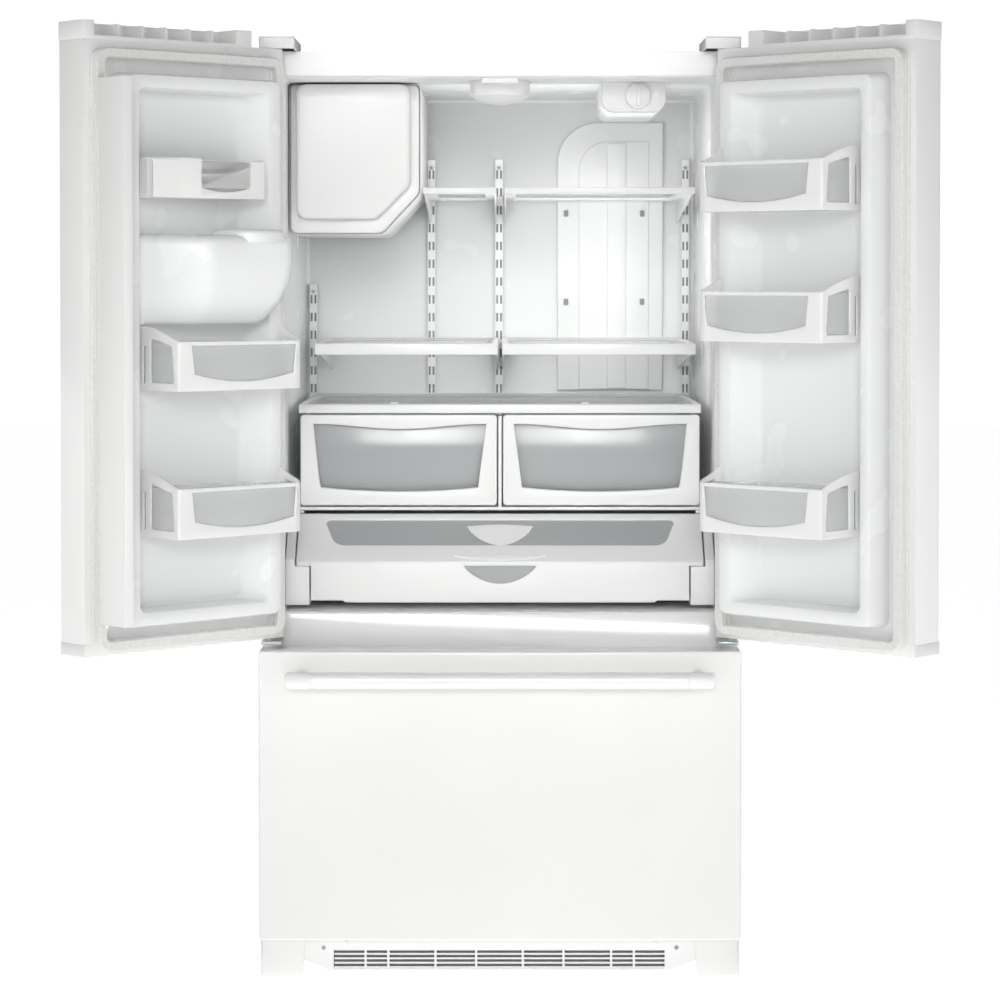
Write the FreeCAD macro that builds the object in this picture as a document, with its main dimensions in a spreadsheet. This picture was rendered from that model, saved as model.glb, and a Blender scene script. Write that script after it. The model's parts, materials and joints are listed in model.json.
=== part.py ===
import FreeCAD, Part
import os
import re

import Sketcher
from FreeCAD import Placement, Rotation, Vector

# A free-standing refrigerator with two swinging doors over a freezer drawer, both doors wide open.
# X runs across the front, Y runs back into the cabinet and Z up from the floor.
# Every piece is laid out with Y = 0 at the closed doors' front faces, and its Placement then
# sets it back by centre_back, so that the origin lies on the floor under the middle of the whole.

SIZES = [
    # name, millimetres or degrees, what it is
    ("centre_back", 260, "from the closed doors' front faces back to the origin"),
    ("case_width", 905, "outside width of the cabinet and of the drawer front"),
    ("case_front", 105, "front face of the cabinet"),
    ("case_rear", 845, "rear face of the cabinet"),
    ("case_bottom", 58, "underside of the cabinet"),
    ("case_top", 1749, "top of the cabinet"),
    ("steel", 2, "painted sheet steel"),
    ("plastic", 3, "moulded and vacuum-formed walls"),
    ("opening_half", 414, "half the width of both compartments"),
    ("fridge_floor", 682, "floor of the fresh-food compartment"),
    ("fridge_ceiling", 1700, "ceiling of the fresh-food compartment"),
    ("fridge_back", 800, "back wall of the fresh-food compartment"),
    ("liner_round", 8, "inside corners of the compartments"),
    ("freezer_floor", 118, "floor of the freezer"),
    ("freezer_ceiling", 600, "ceiling of the freezer"),
    ("freezer_back", 590, "back wall of the freezer beside the machine space"),
    ("freezer_deep", 760, "back wall of the freezer above the machine space"),
    ("freezer_step", 340, "height of the step in the freezer's back"),
    ("machine_front", 602, "front wall of the machine space"),
    ("machine_top", 320, "roof of the machine space"),
    ("door_gap", 2.5, "each door's edge from the centre plane"),
    ("door_depth", 76.5, "thickness of the doors and of the drawer front"),
    ("door_bottom", 642, "underside of the doors"),
    ("door_top", 1779, "top of the doors"),
    ("cap_low", 664, "top of the lower door cap"),
    ("cap_high", 1745, "underside of the upper door cap"),
    ("notch_floor", 1749, "cap surface under the hinge arm"),
    ("notch_start", 380, "where the upper cap drops to the notch, from the centre plane"),
    ("door_open", 137.6, "how far the doors stand open, degrees"),
    ("pivot_across", 436, "door pivots from the centre plane"),
    ("pivot_back", 54, "door pivots behind the doors' front faces"),
    ("pin_radius", 6, "hinge pins"),
    ("running", 0.05, "radial clearance of turning fits"),
    ("gasket_near", 16, "door gasket, inner edge from the centre plane"),
    ("gasket_far", 438, "door gasket, outer edge from the centre plane"),
    ("gasket_low", 652, "lower edge of the door gasket"),
    ("gasket_high", 1730, "upper edge of the door gasket"),
    ("gasket_width", 18, "width of every gasket"),
    ("gasket_face", 103, "sealing face of every gasket"),
    ("dike_near", 58, "raised rim of the door liner, edge beside the centre"),
    ("dike_far", 408, "raised rim of the door liner, edge beside the hinge"),
    ("dike_low", 692, "lower edge of the raised rim"),
    ("dike_high", 1687, "upper edge of the raised rim"),
    ("dike_face", 134, "face of the raised rim"),
    ("dike_slim", 30, "width of the rim beside the centre, above and below"),
    ("dike_wide", 63, "width of the rim beside the hinge"),
    ("recess_floor", 84, "door liner surface inside the rim"),
    ("bin_near", 106, "door bin, end beside the centre"),
    ("bin_far", 396, "door bin, end beside the hinge"),
    ("bin_waist", 340, "where a door bin's narrow back part ends, from the centre plane"),
    ("bin_back", 98, "back of a door bin"),
    ("bin_shoulder", 137, "where a door bin widens in front of the rim"),
    ("bin_front", 219, "front of a door bin"),
    ("drawer_low", 76, "underside of the freezer drawer front"),
    ("drawer_high", 620, "top of the freezer drawer front"),
    ("grip_radius", 15.5, "radius of the handle bars"),
    ("grip_out", 44.5, "handle axes in front of the doors"),
    ("grip_half", 400, "half the length of the drawer handle"),
    ("grip_height", 572, "drawer handle above the floor"),
    ("shelf_front", 240, "front edges of the glass shelves"),
    ("shelf_back", 784, "rear edges of the glass shelves"),
    ("glass", 4, "thickness of the shelf panes"),
    ("ladder_width", 16, "width of a shelf ladder"),
    ("ladder_face", 786, "front face of the shelf ladders"),
    ("ladder_low", 1052, "lower end of the shelf ladders"),
    ("ladder_high", 1571, "upper end of the three long ladders"),
    ("slot_pitch", 38, "spacing of the ladder slots"),
    ("crisper_front", 238, "front of the crispers"),
    ("crisper_half", 389, "outer side of each crisper from the centre plane"),
    ("crisper_low", 876, "underside of the crisper fronts"),
    ("crisper_high", 1053, "top of the crisper fronts"),
    ("cover_high", 1073, "top of the crisper cover"),
    ("pantry_front", 140, "front of the wide pantry drawer"),
    ("pantry_half", 363, "half the width of the pantry drawer"),
    ("pantry_low", 697, "underside of the pantry drawer"),
    ("lid_low", 775, "front edge of the sloping pantry lid"),
    ("lid_back", 245, "hinge edge of the pantry lid, behind the door fronts"),
    ("lid_high", 863, "hinge edge of the pantry lid, above the floor"),
    ("lid_half", 392, "half the width of the pantry lid"),
    ("ice_left", 396, "outer side of the ice bin cover from the centre plane"),
    ("ice_right", 175, "inner side of the ice bin cover from the centre plane"),
    ("lid_pin", 3, "hinge pins of the pantry lid and of the folding flap"),
    ("flap_across", 23, "axis of the folding flap from the centre plane"),
    ("flap_back", 117, "axis of the folding flap behind the doors' front faces"),
    ("flap_low", 704, "lower end of the folding flap"),
    ("flap_high", 1674, "upper end of the folding flap"),
    ("niche_across", 228, "middle of the dispenser from the centre plane"),
    ("niche_half", 88, "half the width of the dispenser"),
    ("niche_low", 1020, "lower edge of the dispenser"),
    ("niche_high", 1380, "upper edge of the dispenser"),
    ("paddle_back", 46, "paddle axis behind the doors' front faces"),
    ("paddle_high", 1205, "paddle axis above the floor"),
    ("upper_top", 1496, "top of the upper shelf frames"),
    ("middle_top", 1192, "top of the middle shelf frames"),
    ("leg_across", 418, "levelling legs from the centre plane"),
    ("leg_back", 150, "levelling legs behind the doors' front faces"),
    ("leg_stud", 6, "radius of a leg's threaded stud"),
    ("wheel_radius", 22, "rear rollers"),
    ("wheel_near", 384, "inner face of each rear roller from the centre plane"),
    ("wheel_wide", 22, "width of a rear roller"),
    ("wheel_back", 790, "roller axles behind the doors' front faces"),
    ("axle_radius", 5, "roller axles"),
    ("tray_top", 43, "top of the chassis tray"),
    ("machine_back", 715, "middle of the compressor and of the fan behind the doors' front faces"),
    ("pump_across", 240, "middle of the compressor from the centre plane"),
    ("pump_radius", 74, "radius of the compressor"),
    ("fan_height", 152, "fan axis above the floor"),
    ("fan_radius", 78, "condenser fan"),
    ("coil_near", 66, "inner ends of the condenser tubes from the centre plane"),
    ("coil_long", 306, "length of the condenser tubes"),
    ("inlet_height", 140, "power socket and water inlet above the floor"),
]

doc = FreeCAD.newDocument("french_door_refrigerator")
sheet = doc.addObject("Spreadsheet::Sheet", "Size")
for row, (alias, number, meaning) in enumerate(SIZES, start=1):
    sheet.set(f"A{row}", meaning)
    sheet.set(f"B{row}", str(number))
    sheet.setAlias(f"B{row}", alias)
doc.recompute()
NAMES = {alias for alias, number, meaning in SIZES}
AXES = {"x": Vector(1, 0, 0), "y": Vector(0, 1, 0), "z": Vector(0, 0, 1)}
LEFT, RIGHT = -1, 1


def size(alias):
    """The number held by one cell."""
    return float(sheet.get(alias))


def formula(text):
    """An expression in which the names of cells refer to the sheet."""
    return re.sub(
        r"[a-z_]+", lambda word: "Size." + word.group() if word.group() in NAMES else word.group(), str(text)
    )


def across(side, near, far):
    """A (low, high) pair along X for two distances from the centre plane, on one side of it."""
    return (near, far) if side == RIGHT else (f"-({far})", f"-({near})")


def both_ways(half):
    """A (low, high) pair along X for a piece centred on the centre plane."""
    return (f"-({half})", half)


# --- solids ---------------------------------------------------------------------------------


def box(name, x, y, z):
    """A block; each of x, y and z is a (low, high) pair of formulas."""
    piece = doc.addObject("Part::Box", name)
    for length, axis, (low, high) in (("Length", "x", x), ("Width", "y", y), ("Height", "z", z)):
        piece.setExpression(length, formula(f"({high}) - ({low})"))
        piece.setExpression(f"Placement.Base.{axis}", formula(low))
    return piece


def rod(name, radius, start, length, along="z"):
    """A round bar of a given length from its start point, along one axis."""
    piece = doc.addObject("Part::Cylinder", name)
    piece.Placement = Placement(Vector(), Rotation(AXES["z"], AXES[along]))
    piece.setExpression("Radius", formula(radius))
    piece.setExpression("Height", formula(length))
    for axis, place in zip("xyz", start):
        piece.setExpression(f"Placement.Base.{axis}", formula(place))
    return piece


def ball(name, radius, centre, lowest, highest):
    """The slice of a ball between two latitudes, in degrees."""
    piece = doc.addObject("Part::Sphere", name)
    piece.Radius, piece.Angle1, piece.Angle2 = radius, lowest, highest
    piece.Placement = Placement(Vector(*centre), Rotation())
    return piece


def fuse(name, *pieces):
    whole = doc.addObject("Part::MultiFuse", name)
    whole.Shapes = list(pieces)
    return whole


def group(name, *pieces):
    """Separate solids kept as one object."""
    whole = doc.addObject("Part::Compound", name)
    whole.Links = list(pieces)
    return whole


def cut(name, base, *tools):
    whole = doc.addObject("Part::Cut", name)
    whole.Base = base
    whole.Tool = tools[0] if len(tools) == 1 else fuse(name + "_tools", *tools)
    return whole


def edges_of(shape, chooser):
    """Numbers of the straight edges that the chooser accepts by direction letter and middle point."""
    found = []
    for number, edge in enumerate(shape.Edges, start=1):
        if edge.Curve.TypeId != "Part::GeomLine":
            continue
        run = edge.lastVertex().Point - edge.firstVertex().Point
        letter = max("xyz", key=lambda axis: abs(run.dot(AXES[axis])))
        if chooser(letter, edge.CenterOfMass):
            found.append(number)
    return found


def rounded(name, base, radius, chooser):
    """The base with chosen edges rounded to a radius in millimetres."""
    doc.recompute()
    piece = doc.addObject("Part::Fillet", name)
    piece.Base = base
    piece.Edges = [(number, radius, radius) for number in edges_of(base.Shape, chooser)]
    return piece


# --- bodies ---------------------------------------------------------------------------------

# For each sketch plane: the sign of its normal against the axis that it faces.
FACING = {"XY_Plane": 1, "YZ_Plane": 1, "XZ_Plane": -1}


def outline(body, plane, loops, place):
    """A sketch of closed polygons whose corners are bound to the sheet, at a place along the plane's axis."""
    sketch = body.newObject("Sketcher::SketchObject", body.Name + "_outline")
    origin = [item for item in body.Origin.OriginFeatures if item.Role == plane]
    sketch.AttachmentSupport = (origin[0], [""])
    sketch.MapMode = "FlatFace"
    sketch.setExpression("AttachmentOffset.Base.z", formula(f"{FACING[plane]} * ({place})"))
    for corners in loops:
        first = sketch.GeometryCount
        count = len(corners)
        start = [Rotation(AXES["z"], 360 * k / count).multVec(Vector(50, 0, 0)) for k in range(count)]
        for k in range(count):
            sketch.addGeometry(Part.LineSegment(start[k], start[(k + 1) % count]), False)
        for k in range(count):
            sketch.addConstraint(Sketcher.Constraint("Coincident", first + k, 2, first + (k + 1) % count, 1))
        for k, corner in enumerate(corners):
            for kind, guess, text in zip(("DistanceX", "DistanceY"), start[k], corner):
                number = sketch.addConstraint(Sketcher.Constraint(kind, -1, 1, first + k, 1, guess))
                sketch.setExpression(f"Constraints[{number}]", formula(text))
    return sketch


def prism(name, plane, corners, low, high):
    """A body whose outline on a plane runs from low to high along the third axis."""
    body = doc.addObject("PartDesign::Body", name)
    pad = body.newObject("PartDesign::Pad", name + "_pad")
    pad.Profile = outline(body, plane, [corners], low)
    pad.setExpression("Length", formula(f"({high}) - ({low})"))
    pad.Reversed = FACING[plane] < 0
    doc.recompute()
    return body


def pocket(body, plane, loops, low, high):
    """Cuts the outlines from the body between low and high along the third axis."""
    before = body.Shape.Volume
    feature = body.newObject("PartDesign::Pocket", body.Name + "_pocket")
    feature.Profile = outline(body, plane, loops, high if FACING[plane] > 0 else low)
    feature.setExpression("Length", formula(f"({high}) - ({low})"))
    doc.recompute()
    if body.Shape.Volume >= before:
        raise RuntimeError(f"{body.Name}: a pocket cuts nothing")
    return feature


def repeat(body, feature, axis, count, pitch):
    """Copies a feature along an axis, count places in all."""
    pattern = body.newObject("PartDesign::LinearPattern", body.Name + "_row")
    pattern.Originals = [feature]
    line = [item for item in body.Origin.OriginFeatures if item.Role == axis]
    pattern.Direction = (line[0], [""])
    pattern.Occurrences = count
    pattern.setExpression("Length", formula(f"({pitch}) * {count - 1}"))
    body.Tip = pattern
    doc.recompute()


def soften(body, radius, chooser):
    """Rounds chosen edges of the body."""
    before, base_feature = body.Shape.Volume, body.Tip
    edges = [f"Edge{number}" for number in edges_of(body.Shape, chooser)]
    feature = body.newObject("PartDesign::Fillet", body.Name + "_round")
    feature.Base = (base_feature, edges)
    feature.setExpression("Radius", formula(radius))
    body.Tip = feature
    doc.recompute()
    if body.Shape.Volume >= before:
        raise RuntimeError(f"{body.Name}: a fillet rounds nothing")


def rectangle(first, second):
    """Four corners from two (low, high) pairs."""
    return [(first[0], second[0]), (first[1], second[0]), (first[1], second[1]), (first[0], second[1])]


# --- finished sub-parts ---------------------------------------------------------------------

finished = []
SET_BACK = Vector(0, -size("centre_back"), 0)


def finish(label, piece, side=None):
    """Names a sub-part and places it; a piece of a door is also swung open about that door's pivot."""
    piece.Label = label
    placement = Placement(SET_BACK, Rotation())
    if side is not None:
        pivot = Vector(side * size("pivot_across"), size("pivot_back"), 0)
        placement = Placement(SET_BACK, Rotation(AXES["z"], side * size("door_open")), pivot)
    piece.Placement = placement
    finished.append(piece)


# --- cabinet --------------------------------------------------------------------------------


def compartment(name, x, y, z, grow="0"):
    """A room with rounded inner corners, open towards the doors; grow makes its outer skin."""
    space = box(
        name + "_block",
        (f"{x[0]} - {grow}", f"{x[1]} + {grow}"),
        (y[0], f"{y[1]} + {grow}"),
        (f"{z[0]} - {grow}", f"{z[1]} + {grow}"),
    )
    doc.recompute()
    radius = size("liner_round") + (size("plastic") if grow != "0" else 0)
    front = space.Shape.BoundBox.YMin + 1
    return rounded(name, space, radius, lambda letter, middle: middle.y > front)


WIDE = both_ways("opening_half")


def fridge_space(name, grow="0"):
    return compartment(name, WIDE, ("case_front", "fridge_back"), ("fridge_floor", "fridge_ceiling"), grow)


def freezer_space(name, grow="0"):
    low = box(
        name + "_low",
        (f"-opening_half - {grow}", f"opening_half + {grow}"),
        ("case_front", f"freezer_back + {grow}"),
        (f"freezer_floor - {grow}", f"freezer_ceiling + {grow}"),
    )
    deep = box(
        name + "_deep",
        (f"-opening_half - {grow}", f"opening_half + {grow}"),
        ("case_front", f"freezer_deep + {grow}"),
        (f"freezer_step - {grow}", f"freezer_ceiling + {grow}"),
    )
    return fuse(name, low, deep)


def cabinet():
    inside = both_ways("case_width/2 - steel")
    shell = box(
        "shell_block", both_ways("case_width/2"), ("case_front", "case_rear"), ("case_bottom", "case_top")
    )
    hollow = box(
        "shell_hollow", inside,
        ("case_front + steel", "case_rear - steel"), ("case_bottom + steel", "case_top - steel"),
    )
    doors_edge = ("case_front - 1", "case_front + steel + 1")
    fridge_hole = box(
        "shell_fridge_hole", both_ways("opening_half + plastic"), doors_edge,
        ("fridge_floor - plastic", "fridge_ceiling + plastic"),
    )
    freezer_hole = box(
        "shell_freezer_hole", both_ways("opening_half + plastic"), doors_edge,
        ("freezer_floor - plastic", "freezer_ceiling + plastic"),
    )
    machine_hole = box(
        "shell_machine_hole", inside,
        ("machine_front", "case_rear + 1"), ("case_bottom - 1", "machine_top - steel"),
    )
    step = prism(
        "shell_step", "YZ_Plane",
        [
            ("machine_front - steel", "case_bottom"), ("machine_front", "case_bottom"),
            ("machine_front", "machine_top - steel"), ("case_rear", "machine_top - steel"),
            ("case_rear", "machine_top"), ("machine_front - steel", "machine_top"),
        ],
        inside[0], inside[1],
    )
    opened = cut("shell_opened", shell, hollow, fridge_hole, freezer_hole, machine_hole)
    finish("cabinet_shell", fuse("shell", opened, step))

    foam = box(
        "foam_block", inside,
        ("case_front + steel", "case_rear - steel"), ("case_bottom + steel", "case_top - steel"),
    )
    machine = box(
        "foam_machine", inside, ("machine_front - steel", "case_rear"), ("case_bottom", "machine_top")
    )
    rooms = [fridge_space("foam_fridge", "plastic"), freezer_space("foam_freezer", "plastic")]
    finish("insulation_foam", cut("foam", foam, *rooms, machine))

    fresh = cut("fresh", fridge_space("fresh_skin", "plastic"), fridge_space("fresh_room"))
    finish("fresh_food_liner", fresh)
    frozen = cut("frozen", freezer_space("frozen_skin", "plastic"), freezer_space("frozen_room"))
    finish("freezer_liner", frozen)


def rear_cover():
    """A pressed plate over the machine space with rows of slots and an opening for the inlets."""
    cover = prism(
        "cover", "XZ_Plane",
        rectangle(both_ways("case_width/2 - steel - 1"), ("case_bottom + 4", "machine_top - 4")),
        "case_rear - steel", "case_rear",
    )
    pocket(cover, "XZ_Plane", [rectangle(("-380", "-280"), ("110", "170"))], "case_rear - 5", "case_rear + 1")
    slots = [rectangle((str(x), str(x + 44)), ("96", "101")) for x in range(-240, 400, 56)]
    row = pocket(cover, "XZ_Plane", slots, "case_rear - 5", "case_rear + 1")
    repeat(cover, row, "Z_Axis", 14, "14")
    finish("rear_cover", cover)

    socket = box(
        "inlet_socket", ("-376", "-330"), ("case_rear - 24", "case_rear"),
        ("inlet_height - 20", "inlet_height + 20"),
    )
    mouth = box(
        "inlet_mouth", ("-367", "-339"), ("case_rear - 18", "case_rear + 1"),
        ("inlet_height - 10", "inlet_height + 10"),
    )
    plate = box("inlet_plate", ("-380", "-280"), ("case_rear - 26", "case_rear - 24"), ("110", "170"))
    tails = [
        rod(f"inlet_blade{x}", "2", (x, "case_rear - 24", "inlet_height"), "12", "y")
        for x in (-360, -353, -346)
    ]
    water = rod("inlet_water", "3.175", ("-305", "case_rear - 25", "inlet_height"), "25", "y")
    finish("rear_inlets", fuse("inlets", cut("inlet_body", socket, mouth), plate, water, *tails))


def base():
    """The chassis under the cabinet: tray, side rails, leg bosses and roller brackets with their axles."""
    pieces = [box("tray", both_ways("440"), ("machine_front + 2", "838"), ("40", "43"))]
    for side in (LEFT, RIGHT):
        tag = "left" if side == LEFT else "right"
        pieces.append(box(f"rail_{tag}", across(side, "396", "440"), ("120", "838"), ("43", "case_bottom")))
        for cheek, near in (("inner", 378), ("outer", 408)):
            width = across(side, str(near), str(near + 4))
            pieces.append(box(f"cheek_{cheek}_{tag}", width, ("772", "808"), ("12", "41")))
        start = "378" if side == RIGHT else "-412"
        pieces.append(rod(f"axle_{tag}", "axle_radius", (start, "wheel_back", "wheel_radius"), "34", "x"))
    bores = [
        rod(f"leg_bore{side}", "leg_stud + running", (f"{side} * leg_across", "leg_back", "42"), "15", "z")
        for side in (LEFT, RIGHT)
    ]
    wells = [
        box(f"wheel_well{side}", across(side, "wheel_near - 2", "wheel_near + wheel_wide + 2"),
            ("wheel_back - 25", "wheel_back + 25"), ("tray_top - 4", "tray_top + 5"))
        for side in (LEFT, RIGHT)
    ]
    finish("base_frame", cut("base", fuse("base_solid", *pieces), *bores, *wells))

    for side, tag in ((LEFT, "left"), (RIGHT, "right")):
        place = f"{side} * leg_across"
        disc = rod(f"leg_disc_{tag}", "19", (place, "leg_back", "0"), "9")
        nut = rod(f"leg_nut_{tag}", "11", (place, "leg_back", "9"), "12")
        stud = rod(f"leg_stud_{tag}", "leg_stud", (place, "leg_back", "9"), "46")
        finish(f"leg_{tag}", fuse(f"leg_solid_{tag}", disc, nut, stud))

    wheels = []
    for side, tag in ((LEFT, "left"), (RIGHT, "right")):
        start = across(side, "wheel_near", "wheel_near + wheel_wide")[0]
        end = (start, "wheel_back", "wheel_radius")
        tyre = rod(f"wheel_{tag}", "wheel_radius", end, "wheel_wide", "x")
        hole = rod(f"wheel_bore_{tag}", "axle_radius + running", end, "wheel_wide", "x")
        wheels.append(cut(f"roller_{tag}", tyre, hole))
    finish("rear_rollers", group("rollers", *wheels))


def machine():
    """Compressor, condenser with its shroud and motor, and the fan between them."""
    shell = rod("compressor_shell", "pump_radius", ("-pump_across", "machine_back", "50"), "90")
    crown = (-size("pump_across"), size("machine_back"), 140)
    dome = ball("compressor_dome", size("pump_radius"), crown, 0, 90)
    plate = box(
        "compressor_plate", ("-pump_across - 90", "-pump_across + 90"),
        ("machine_back - 55", "machine_back + 55"), ("tray_top", "tray_top + 13"),
    )
    stub = rod("compressor_stub", "4", ("-pump_across", "machine_back", "120"), "92", "x")
    finish("compressor", fuse("compressor_solid", shell, dome, plate, stub))

    ends = [
        box(f"coil_end_{tag}", (start, f"{start} + 6"), ("640", "790"), ("tray_top", "250"))
        for tag, start in (("near", "coil_near - 6"), ("far", "coil_near + coil_long"))
    ]
    tubes = [
        rod(
            f"coil_tube{row}_{line}", "4",
            ("coil_near", str(660 + 36 * line), str(70 + 30 * row)), "coil_long", "x",
        )
        for row in range(6)
        for line in range(4)
    ]
    shroud = box("shroud_block", ("20", "24"), ("620", "810"), ("tray_top", "260"))
    throat = rod("shroud_throat", "fan_radius + 6", ("18", "machine_back", "fan_height"), "8", "x")
    straps = [
        box("strap_low", ("24", "coil_near - 6"), ("640", "790"), ("tray_top", "tray_top + 7")),
        box("motor_strut", ("24", "28"), ("620", "810"), ("fan_height - 6", "fan_height + 6")),
    ]
    motor = rod("fan_motor", "24", ("24", "machine_back", "fan_height"), "32", "x")
    shaft = rod("fan_shaft", "3", ("-8", "machine_back", "fan_height"), "34", "x")
    ring = cut("shroud", shroud, throat)
    carrier = fuse("fan_carrier", ring, motor, shaft, *straps)
    finish("condenser", group("condenser_set", carrier, *ends, *tubes))

    hub = rod("fan_hub", "20", ("-6", "machine_back", "fan_height"), "18", "x")
    blades = []
    for k in range(5):
        blade = box(f"fan_blade{k}", ("-1.2", "1.2"), ("-17", "17"), ("14", "fan_radius"))
        pitch = Rotation(AXES["z"], 32)
        turn = Rotation(AXES["x"], 72 * k)
        holder = group(f"fan_arm{k}", blade)
        hub_place = Vector(3, size("machine_back"), size("fan_height"))
        holder.Placement = Placement(hub_place, turn.multiply(pitch))
        blades.append(holder)
    bore = rod("fan_bore", "3 + running", ("-7", "machine_back", "fan_height"), "20", "x")
    finish("condenser_fan", cut("fan", fuse("fan_solid", hub, *blades), bore))


def hinges():
    """Top arms with pins pointing down, lower brackets with pins pointing up, and the top covers."""
    pieces, covers = [], []
    for side, tag in ((LEFT, "left"), (RIGHT, "right")):
        pivot = f"{side} * pivot_across"
        width = across(side, "418", "450")
        arm = box(f"arm_{tag}", width, ("38", "200"), ("notch_floor + 2", "notch_floor + 8"))
        foot = box(f"arm_foot_{tag}", width, ("112", "200"), ("case_top", "notch_floor + 2"))
        high = rod(f"pin_high_{tag}", "pin_radius", (pivot, "pivot_back", "notch_floor - 18"), "24")
        pieces.append(fuse(f"hinge_high_{tag}", arm, foot, high))
        shelf = box(
            f"bracket_{tag}", across(side, "412", "450"), ("40", "case_front"),
            ("door_bottom - 14", "door_bottom - 8"),
        )
        low = rod(f"pin_low_{tag}", "pin_radius", (pivot, "pivot_back", "door_bottom - 12"), "28")
        pieces.append(fuse(f"hinge_low_{tag}", shelf, low))

        outside = box(
            f"cap_block_{tag}", across(side, "385", "452"), ("36", "215"), ("case_top + 0.5", "case_top + 23")
        )
        soft = rounded(f"cap_soft_{tag}", outside, 3, lambda letter, middle: letter == "z" or middle.z > 1760)
        room = box(
            f"cap_room_{tag}", across(side, "388", "450.2"), ("38", "213"), ("case_top", "case_top + 20")
        )
        covers.append(cut(f"cap_{tag}", soft, room))
    finish("door_hinges", group("hinge_set", *pieces))
    finish("hinge_covers", group("cover_set", *covers))


def grille():
    """The louvred toe grille with a foot cover at each end."""
    rib_places = [-314, -254, -211, -122, -45, 43, 120, 210, 253, 311]
    slots = [
        rectangle((str(left + 2), str(right - 2)), ("18", "22"))
        for left, right in zip(rib_places, rib_places[1:])
    ]
    front = prism("toe", "XZ_Plane", [
        ("-369", "74"), ("-369", "30"), ("-322", "10"), ("322", "10"), ("369", "30"), ("369", "74"),
    ], "38", "46")
    row = pocket(front, "XZ_Plane", slots, "36", "48")
    repeat(front, row, "Z_Axis", 4, "8.4")
    pieces = [front]
    for side, tag in ((LEFT, "left"), (RIGHT, "right")):
        block = box(f"foot_block_{tag}", across(side, "369", "452"), ("32", "104"), ("3", "74"))
        soft = rounded(f"foot_soft_{tag}", block, 6, lambda letter, middle: letter == "z" and middle.y < 50)
        room = box(f"foot_room_{tag}", across(side, "372", "449"), ("36", "105"), ("2", "70"))
        pieces.append(cut(f"foot_{tag}", soft, room))
    finish("base_grille", fuse("grille", *pieces))


def screws():
    """Pan heads: ladders, grille and rear cover."""
    heads = []
    for x in LADDERS:
        top = 1290 if x == LADDERS[0] else 1554
        heads.append(rod(f"ladder_screw{x}", "4.5", (x, "ladder_face - 2.5", top), "2.5", "y"))
    for x in (-333, 333):
        heads.append(rod(f"grille_screw{x}", "4.5", (x, "36", 55), "2", "y"))
    for x in (-430, 0, 430):
        for z in (76, 304):
            heads.append(rod(f"cover_screw{x}_{z}", "4.5", (x, "case_rear", z), "2", "y"))
    finish("screws", group("screw_set", *heads))


# --- fresh-food compartment -----------------------------------------------------------------

LADDERS = (-398, -146, -2, 395)


def ladders():
    """Slotted rails on the back wall that carry the shelves; the one behind the ice maker is short."""
    rails = []
    for x in LADDERS:
        tag = "short" if x == LADDERS[0] else f"at{x}"
        top, count = ("1306", 6) if x == LADDERS[0] else ("ladder_high", 13)
        rail = prism(
            f"ladder_{tag}", "YZ_Plane", rectangle(("ladder_face", "fridge_back"), ("ladder_low", top)),
            f"{x} - ladder_width/2", f"{x} + ladder_width/2",
        )
        slot = pocket(rail, "XZ_Plane", [
            rectangle((f"{x} - 6", f"{x} - 2"), ("ladder_low + 12", "ladder_low + 30")),
            rectangle((f"{x} + 2", f"{x} + 6"), ("ladder_low + 12", "ladder_low + 30")),
        ], "ladder_face - 1", "fridge_back - 2")
        repeat(rail, slot, "Z_Axis", count, "slot_pitch")
        rails.append(rail)
    finish("shelf_ladders", group("ladder_set", *rails))


def shelf(tag, x, top, thick):
    """A frame with a ledge, two tapering side arms, and the pane that drops into it."""
    low, high = x
    across_x = (str(low), str(high))
    rim = box(f"{tag}_rim", across_x, ("shelf_front", "shelf_back"), (f"{top} - {thick}", str(top)))
    hole = box(f"{tag}_hole", (str(low + 22), str(high - 22)), ("shelf_front + 26", "shelf_back - 22"),
               (f"{top} - {thick} - 1", f"{top} + 1"))
    seat = (str(low + 12), str(high - 12)), ("shelf_front + 14", "shelf_back - 12")
    ledge = box(f"{tag}_seat", *seat, (f"{top} - glass - 1", f"{top} + 1"))
    arms = [
        prism(f"{tag}_arm{k}", "YZ_Plane", [
            ("shelf_front + 90", f"{top} - {thick}"), ("shelf_back", f"{top} - {thick} - 46"),
            ("shelf_back", f"{top} - 2"), ("shelf_front + 90", f"{top} - 2"),
        ], str(start), str(start + 4))
        for k, start in enumerate((low, high - 4))
    ]
    frame = fuse(f"{tag}_frame", cut(f"{tag}_ring", rim, hole, ledge), *arms)
    pane = box(f"{tag}_pane", *seat, (f"{top} - glass - 1", f"{top} - 1"))
    return frame, pane


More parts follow.
